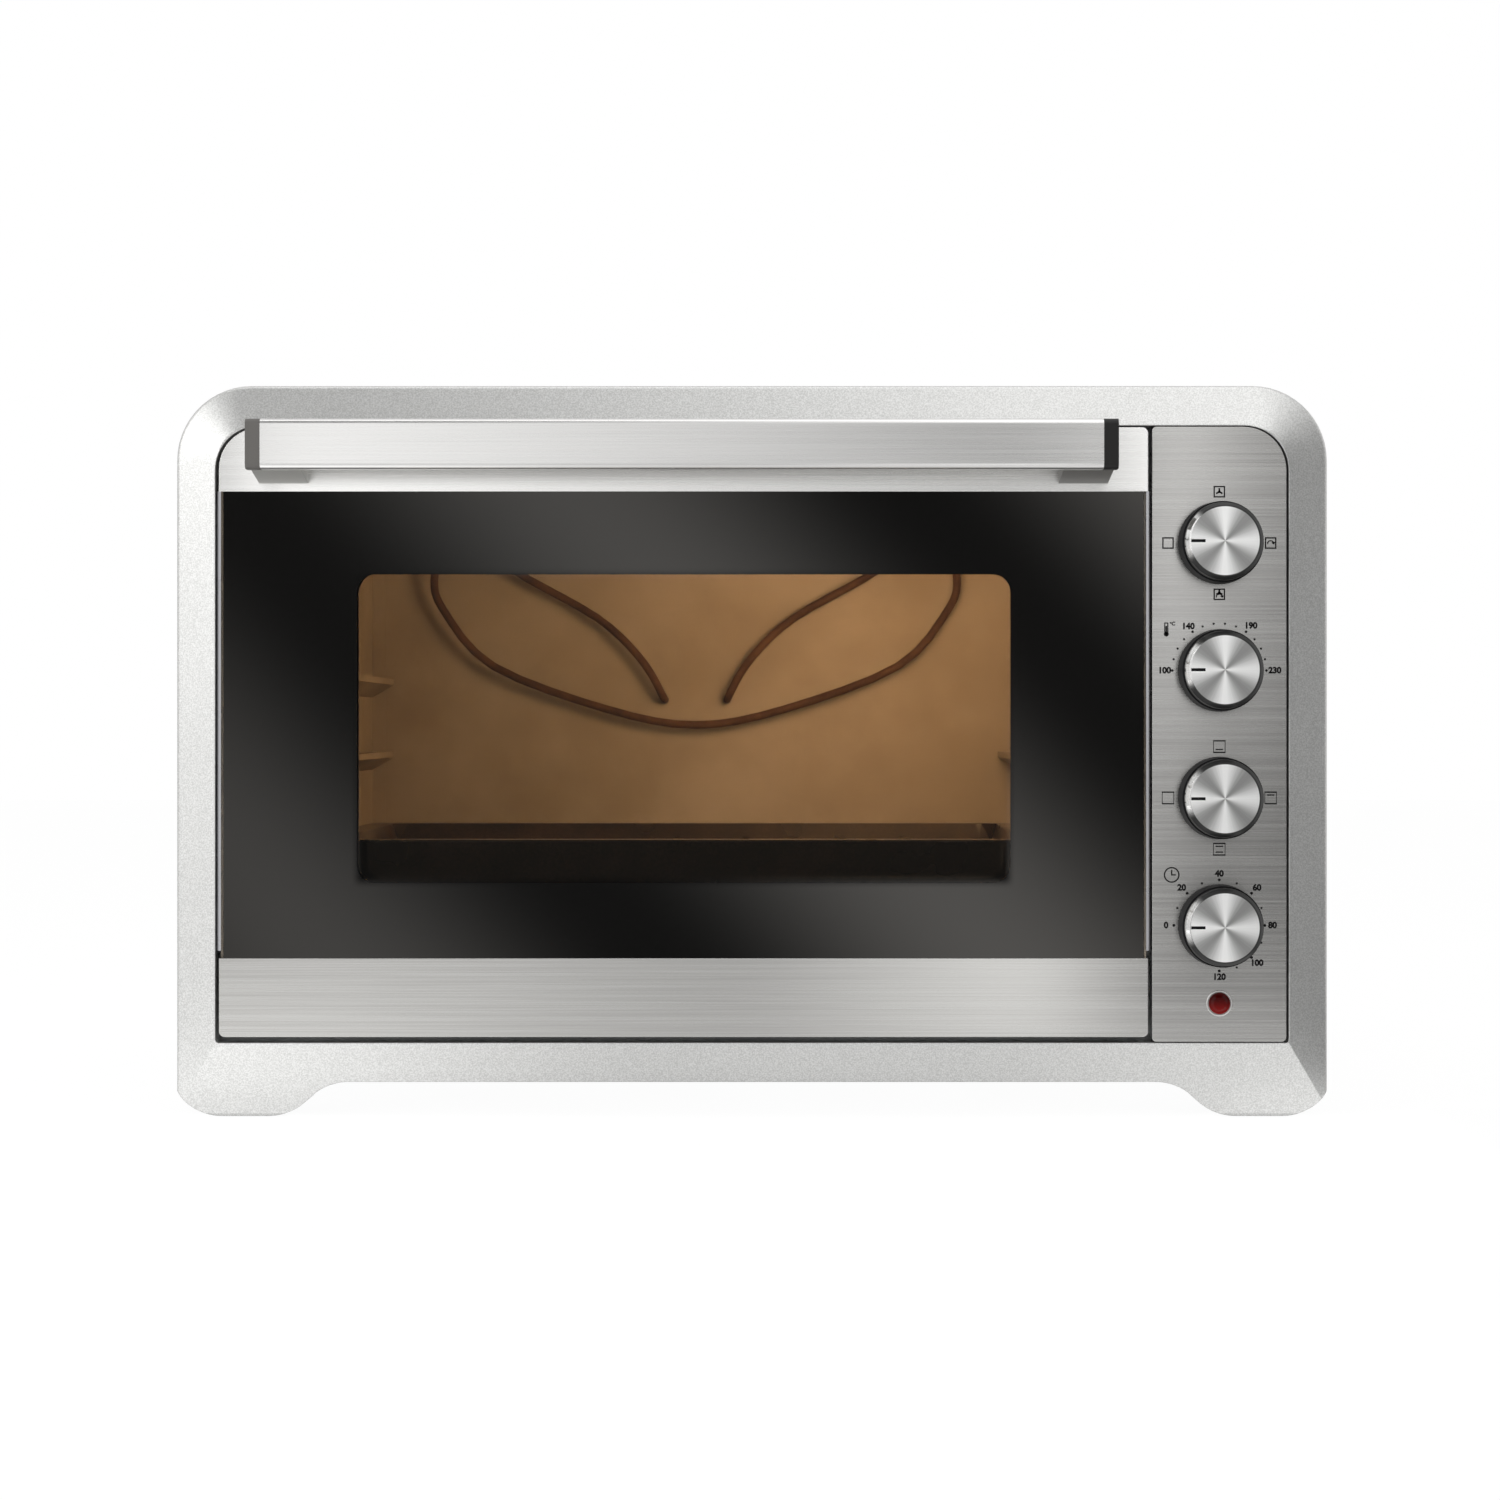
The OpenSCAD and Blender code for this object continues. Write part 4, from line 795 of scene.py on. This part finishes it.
def clockSign(x, z, line):
    return [ring(x, z, timerPrint["clock"], line), stroke(x, z, x, z + 0.0024, line),
            stroke(x, z, x + 0.0019, z, line)]


def timerDial():
    made = []
    labels = timerPrint["labels"]
    for k in range(timerPrint["dots"]):
        angle = k * timerPrint["pitch"]
        x, z = polar(angle, timerPrint["reach"])
        made.append(dot(x, z, printing["dot"] * (timerPrint["bigDot"] if k in labels else 1.0)))
        if k in labels:
            x, z = polar(angle, timerPrint["nearReach" if k in timerPrint["near"] else "labelReach"])
            made.append(digits(labels[k], x, z, printing["digit"]))
    made += clockSign(*timerPrint["sign"], printing["line"])
    return made


def makeInk():
    material, shader, place = newFinish("dialInk")
    edge = place.noise(3000.0, 2.0)
    setShader(shader, place, base=edge.between(printing["dark"], printing["light"]), rough=edge * 0.1 + 0.5,
              specular=0.08)
    return material


def standOnPanel(parts, name, centre, ink):
    made = joinPieces(parts, name)
    activeOnly(made)
    thick = made.modifiers.new("thick", "SOLIDIFY")
    thick.thickness = printing["thick"]
    thick.offset = 1
    applyModifiers(made)
    made.rotation_euler = (math.radians(90), 0, 0)
    made.location = (centre.x, frontY - printing["lift"], centre.z)
    settle(made)
    addPiece(made, "cabinet", ink)


dialInk = makeInk()
standOnPanel(functionDial(), "functionDial", knobCentres["function"], dialInk)
standOnPanel(thermostatDial(), "thermostatDial", knobCentres["thermostat"], dialInk)
standOnPanel(heatDial(), "heatDial", knobCentres["heat"], dialInk)
standOnPanel(timerDial(), "timerDial", knobCentres["timer"], dialInk)
print("dials printed")


# stage: pale floor, white surroundings, soft boxes and a camera at the photograph's place

photo = {"eye": (-0.00104, frontY - 1.6, 0.2024), "width": 0.77775, "distance": 1.6, "shift": -0.014,
         "sensor": 36.0}
stage = {"floor": (0.9, 0.9, 0.9), "floorSize": 14.0, "floorRough": 0.7, "floorWhite": 0.9,
         "floorGlow": 1.05, "ambient": 0.42}


def seenDirectly(tree):  # 1 for rays that show the background itself
    path = tree.nodes.new("ShaderNodeLightPath")
    seen = Wire(tree, path.outputs["Is Camera Ray"])
    seen = seen.maths("MAXIMUM", seen, Wire(tree, path.outputs["Is Glossy Ray"]))
    return seen.maths("MAXIMUM", seen, Wire(tree, path.outputs["Is Transmission Ray"]))


def makeWorld():
    world = bpy.data.worlds.new("studio")
    bpy.context.scene.world = world
    world.use_nodes = True
    tree = world.node_tree
    back = tree.nodes["Background"]
    back.inputs["Color"].default_value = (1, 1, 1, 1)
    strength = seenDirectly(tree) * (1 - stage["ambient"]) + stage["ambient"]
    tree.links.new(strength.socket, back.inputs["Strength"])


def makeFloor():
    clearSelection()
    bpy.ops.mesh.primitive_plane_add(size=stage["floorSize"])
    floor = bpy.context.object
    floor.name = "studioFloor"
    material = bpy.data.materials.new("studioFloor")
    material.use_nodes = True
    tree = material.node_tree
    shader = tree.nodes["Principled BSDF"]
    shader.inputs["Base Color"].default_value = (*stage["floor"], 1)
    shader.inputs["Roughness"].default_value = stage["floorRough"]
    white = tree.nodes.new("ShaderNodeEmission")
    white.inputs["Strength"].default_value = stage["floorGlow"]
    mix = tree.nodes.new("ShaderNodeMixShader")
    tree.links.new((seenDirectly(tree) * stage["floorWhite"]).socket, mix.inputs[0])
    tree.links.new(shader.outputs[0], mix.inputs[1])
    tree.links.new(white.outputs[0], mix.inputs[2])
    tree.links.new(mix.outputs[0], tree.nodes["Material Output"].inputs["Surface"])
    floor.data.materials.append(material)


def turnTo(place, aim):  # the turn that faces a card or box at its aim
    return (Vector(aim) - Vector(place)).to_track_quat("-Z", "Y").to_euler()


def softBox(name, place, aim, size, watts):
    data = bpy.data.lights.new(name, "AREA")
    data.shape = "RECTANGLE"
    data.size, data.size_y = size
    data.energy = watts
    made = bpy.data.objects.new(name, data)
    made.location = place
    made.rotation_euler = turnTo(place, aim)
    made.visible_camera = False
    bpy.context.scene.collection.objects.link(made)


def studioCard(name, place, aim, size, glow):  # a card that only shows in gloss
    clearSelection()
    bpy.ops.mesh.primitive_plane_add(size=1)
    made = bpy.context.object
    made.name = name
    made.scale = (*size, 1)
    made.rotation_euler = turnTo(place, aim)
    made.location = place
    settle(made)
    made.visible_camera = False
    made.visible_diffuse = False
    made.visible_shadow = False
    material = bpy.data.materials.new(name)
    material.use_nodes = True
    tree = material.node_tree
    tree.nodes.remove(tree.nodes["Principled BSDF"])
    light = tree.nodes.new("ShaderNodeEmission")
    coords = Wire(tree, tree.nodes.new("ShaderNodeTexCoord").outputs["Object"])
    coords.plug(light.inputs["Strength"], glow(coords))
    tree.links.new(light.outputs[0], tree.nodes["Material Output"].inputs["Surface"])
    made.data.materials.append(material)


sheen = {"ahead": 0.45, "size": (0.94, 0.60), "middle": 0.30, "period": 0.356, "lowest": -0.160,
         "slope": 0.92, "dim": 0.07, "bright": 0.95, "even": 1.04, "toRight": 0.94,
         "windowX": (-0.205, 0.134), "windowZ": (0.1226, 0.2826), "soft": 0.004}
steel = {"top": [(-0.47, 0.50), (-0.345, 0.50), (-0.325, 1.75), (-0.29, 1.60), (-0.25, 1.46), (0.0, 0.96),
                 (0.19, 0.43), (0.213, 1.00), (0.25, 0.26), (0.277, 2.30), (0.29, 1.80), (0.31, 1.02),
                 (0.36, 0.54)],
         "low": [(-0.47, 0.98), (-0.20, 0.90), (0.0, 0.62), (0.19, 1.95), (0.262, 0.26), (0.31, 0.26),
                 (0.36, 0.20)],
         "rise": (0.02, 0.37), "most": 2.4}


def between(value, low, high, soft):  # 1 from low to high, with soft edges
    return value.step(low - soft, low + soft) * (1 - value.step(high - soft, high + soft))


def steelGlow(across, up):  # what brushed steel sees: bright from the left, with a fall at the control panel
    width = sheen["size"][0]
    rows = []
    for row in ("low", "top"):
        stops = [(x / width + 0.5, [glow / steel["most"]] * 3 + [1]) for x, glow in steel[row]]
        rows.append(across.node("ValToRGB", {"stops": stops}, {0: across / width + 0.5}))
    height = up.step(*steel["rise"])
    return (rows[0] * (1 - height) + rows[1] * height) * steel["most"]


def sheenGlow(coords):  # soft slanting bands for the door's clear glass, an even fall for brushed steel
    spread = 1 + sheen["ahead"] / photo["distance"]
    across, up = coords.axis("X"), coords.axis("Z")
    eyeZ = photo["eye"][2]
    along = across + (up - eyeZ) * sheen["slope"]
    wave = ((along - sheen["lowest"] * spread) * (2 * math.pi / (sheen["period"] * spread))).cosine()
    bands = ((0.5 - wave * 0.5) ** 1.3) * (sheen["bright"] - sheen["dim"])
    windowX = [x * spread for x in sheen["windowX"]]
    windowZ = [(z - eyeZ) * spread + eyeZ for z in sheen["windowZ"]]
    window = between(across, *windowX, sheen["soft"]) * between(up, *windowZ, sheen["soft"])
    bands = bands * (across * sheen["toRight"] + sheen["even"]) * (1 - window) + sheen["dim"]
    path = coords.tree.nodes.new("ShaderNodeLightPath")
    clear = Wire(coords.tree, path.outputs["Is Singular Ray"])
    return clear * bands + (1 - clear) * steelGlow(across, up)


sideShine = {"top": 1.2, "gain": 0.08, "least": 0.10}
topShine = {"left": -0.32, "right": 0.30, "least": 0.02, "most": 2.02}
feetShine = {"left": (-0.30, -0.04), "leftGain": 0.75, "right": (0.10, 0.32), "rightGain": 0.32,
             "near": (-0.030, 0.004), "nearRight": 0.5, "nearLoss": 0.3, "least": 1.06}


def sideGlow(coords):  # the dim right side
    return coords.axis("Z").step(0.0, sideShine["top"]) * sideShine["gain"] + sideShine["least"]


def topGlow(coords):  # the frame's top band is brighter to the right
    across = coords.axis("X")
    return across.node("MapRange", None, {0: across, 1: topShine["left"], 2: topShine["right"],
                                          3: topShine["least"], 4: topShine["most"]})


def lowGlow(coords):  # bright at the feet, most at the left
    across = coords.axis("X")
    near = coords.axis("Y").step(*[frontY + y for y in feetShine["near"]])
    left = 1 - across.step(*feetShine["left"])
    right = across.step(*feetShine["right"])
    close = near * (right * feetShine["nearRight"] - feetShine["nearLoss"])
    return left * feetShine["leftGain"] + right * feetShine["rightGain"] + close + feetShine["least"]


def makeCamera():
    data = bpy.data.cameras.new("photoCamera")
    data.sensor_width = photo["sensor"]
    data.lens = photo["sensor"] * photo["distance"] / photo["width"]
    data.shift_y = photo["shift"]
    data.clip_start = 0.05
    data.clip_end = 60.0
    made = bpy.data.objects.new("photoCamera", data)
    made.location = photo["eye"]
    made.rotation_euler = (math.radians(90), 0, 0)
    bpy.context.scene.collection.objects.link(made)
    bpy.context.scene.camera = made


cards = {"sheenCard": {"place": (0, frontY - sheen["ahead"], sheen["middle"]),
                       "aim": (0, frontY, sheen["middle"]), "size": sheen["size"], "glow": sheenGlow},
         "topCard": {"place": (0, frontY - 0.75, 1.16), "aim": (0, frontY, 0.41), "size": (1.7, 0.7),
                     "glow": topGlow},
         "lowCard": {"place": (-0.05, frontY - 0.145, 0.002), "aim": (-0.05, frontY - 0.145, -1),
                     "size": (0.8, 0.33), "glow": lowGlow},
         "rightFloor": {"place": (0.75, frontY - 0.3, 0.002), "aim": (0.75, frontY - 0.3, -1),
                        "size": (0.78, 0.7), "glow": sideGlow},
         "sideFlag": {"place": (1.15, frontY - 0.85, 0.45), "aim": (0.25, frontY, 0.2), "size": (1.2, 1.1),
                      "glow": sideGlow}}
boxes = {"keyBox": {"place": (-2.0, -1.7, 1.1), "aim": (0, -0.15, 0.2), "size": (1.2, 1.6), "watts": 16.5},
         "topBox": {"place": (0.1, -0.6, 2.2), "aim": (0, -0.1, 0.2), "size": (2.0, 1.4), "watts": 9},
         "fillBox": {"place": (2.2, -1.5, 0.9), "aim": (0, -0.1, 0.2), "size": (1.0, 1.4), "watts": 5}}

makeWorld()
makeFloor()
for cardName, card in cards.items():
    studioCard(cardName, **card)
for boxName, box in boxes.items():
    softBox(boxName, **box)
makeCamera()
bpy.context.scene.view_settings.view_transform = "Standard"
print("stage and camera set")

print("scene ready")
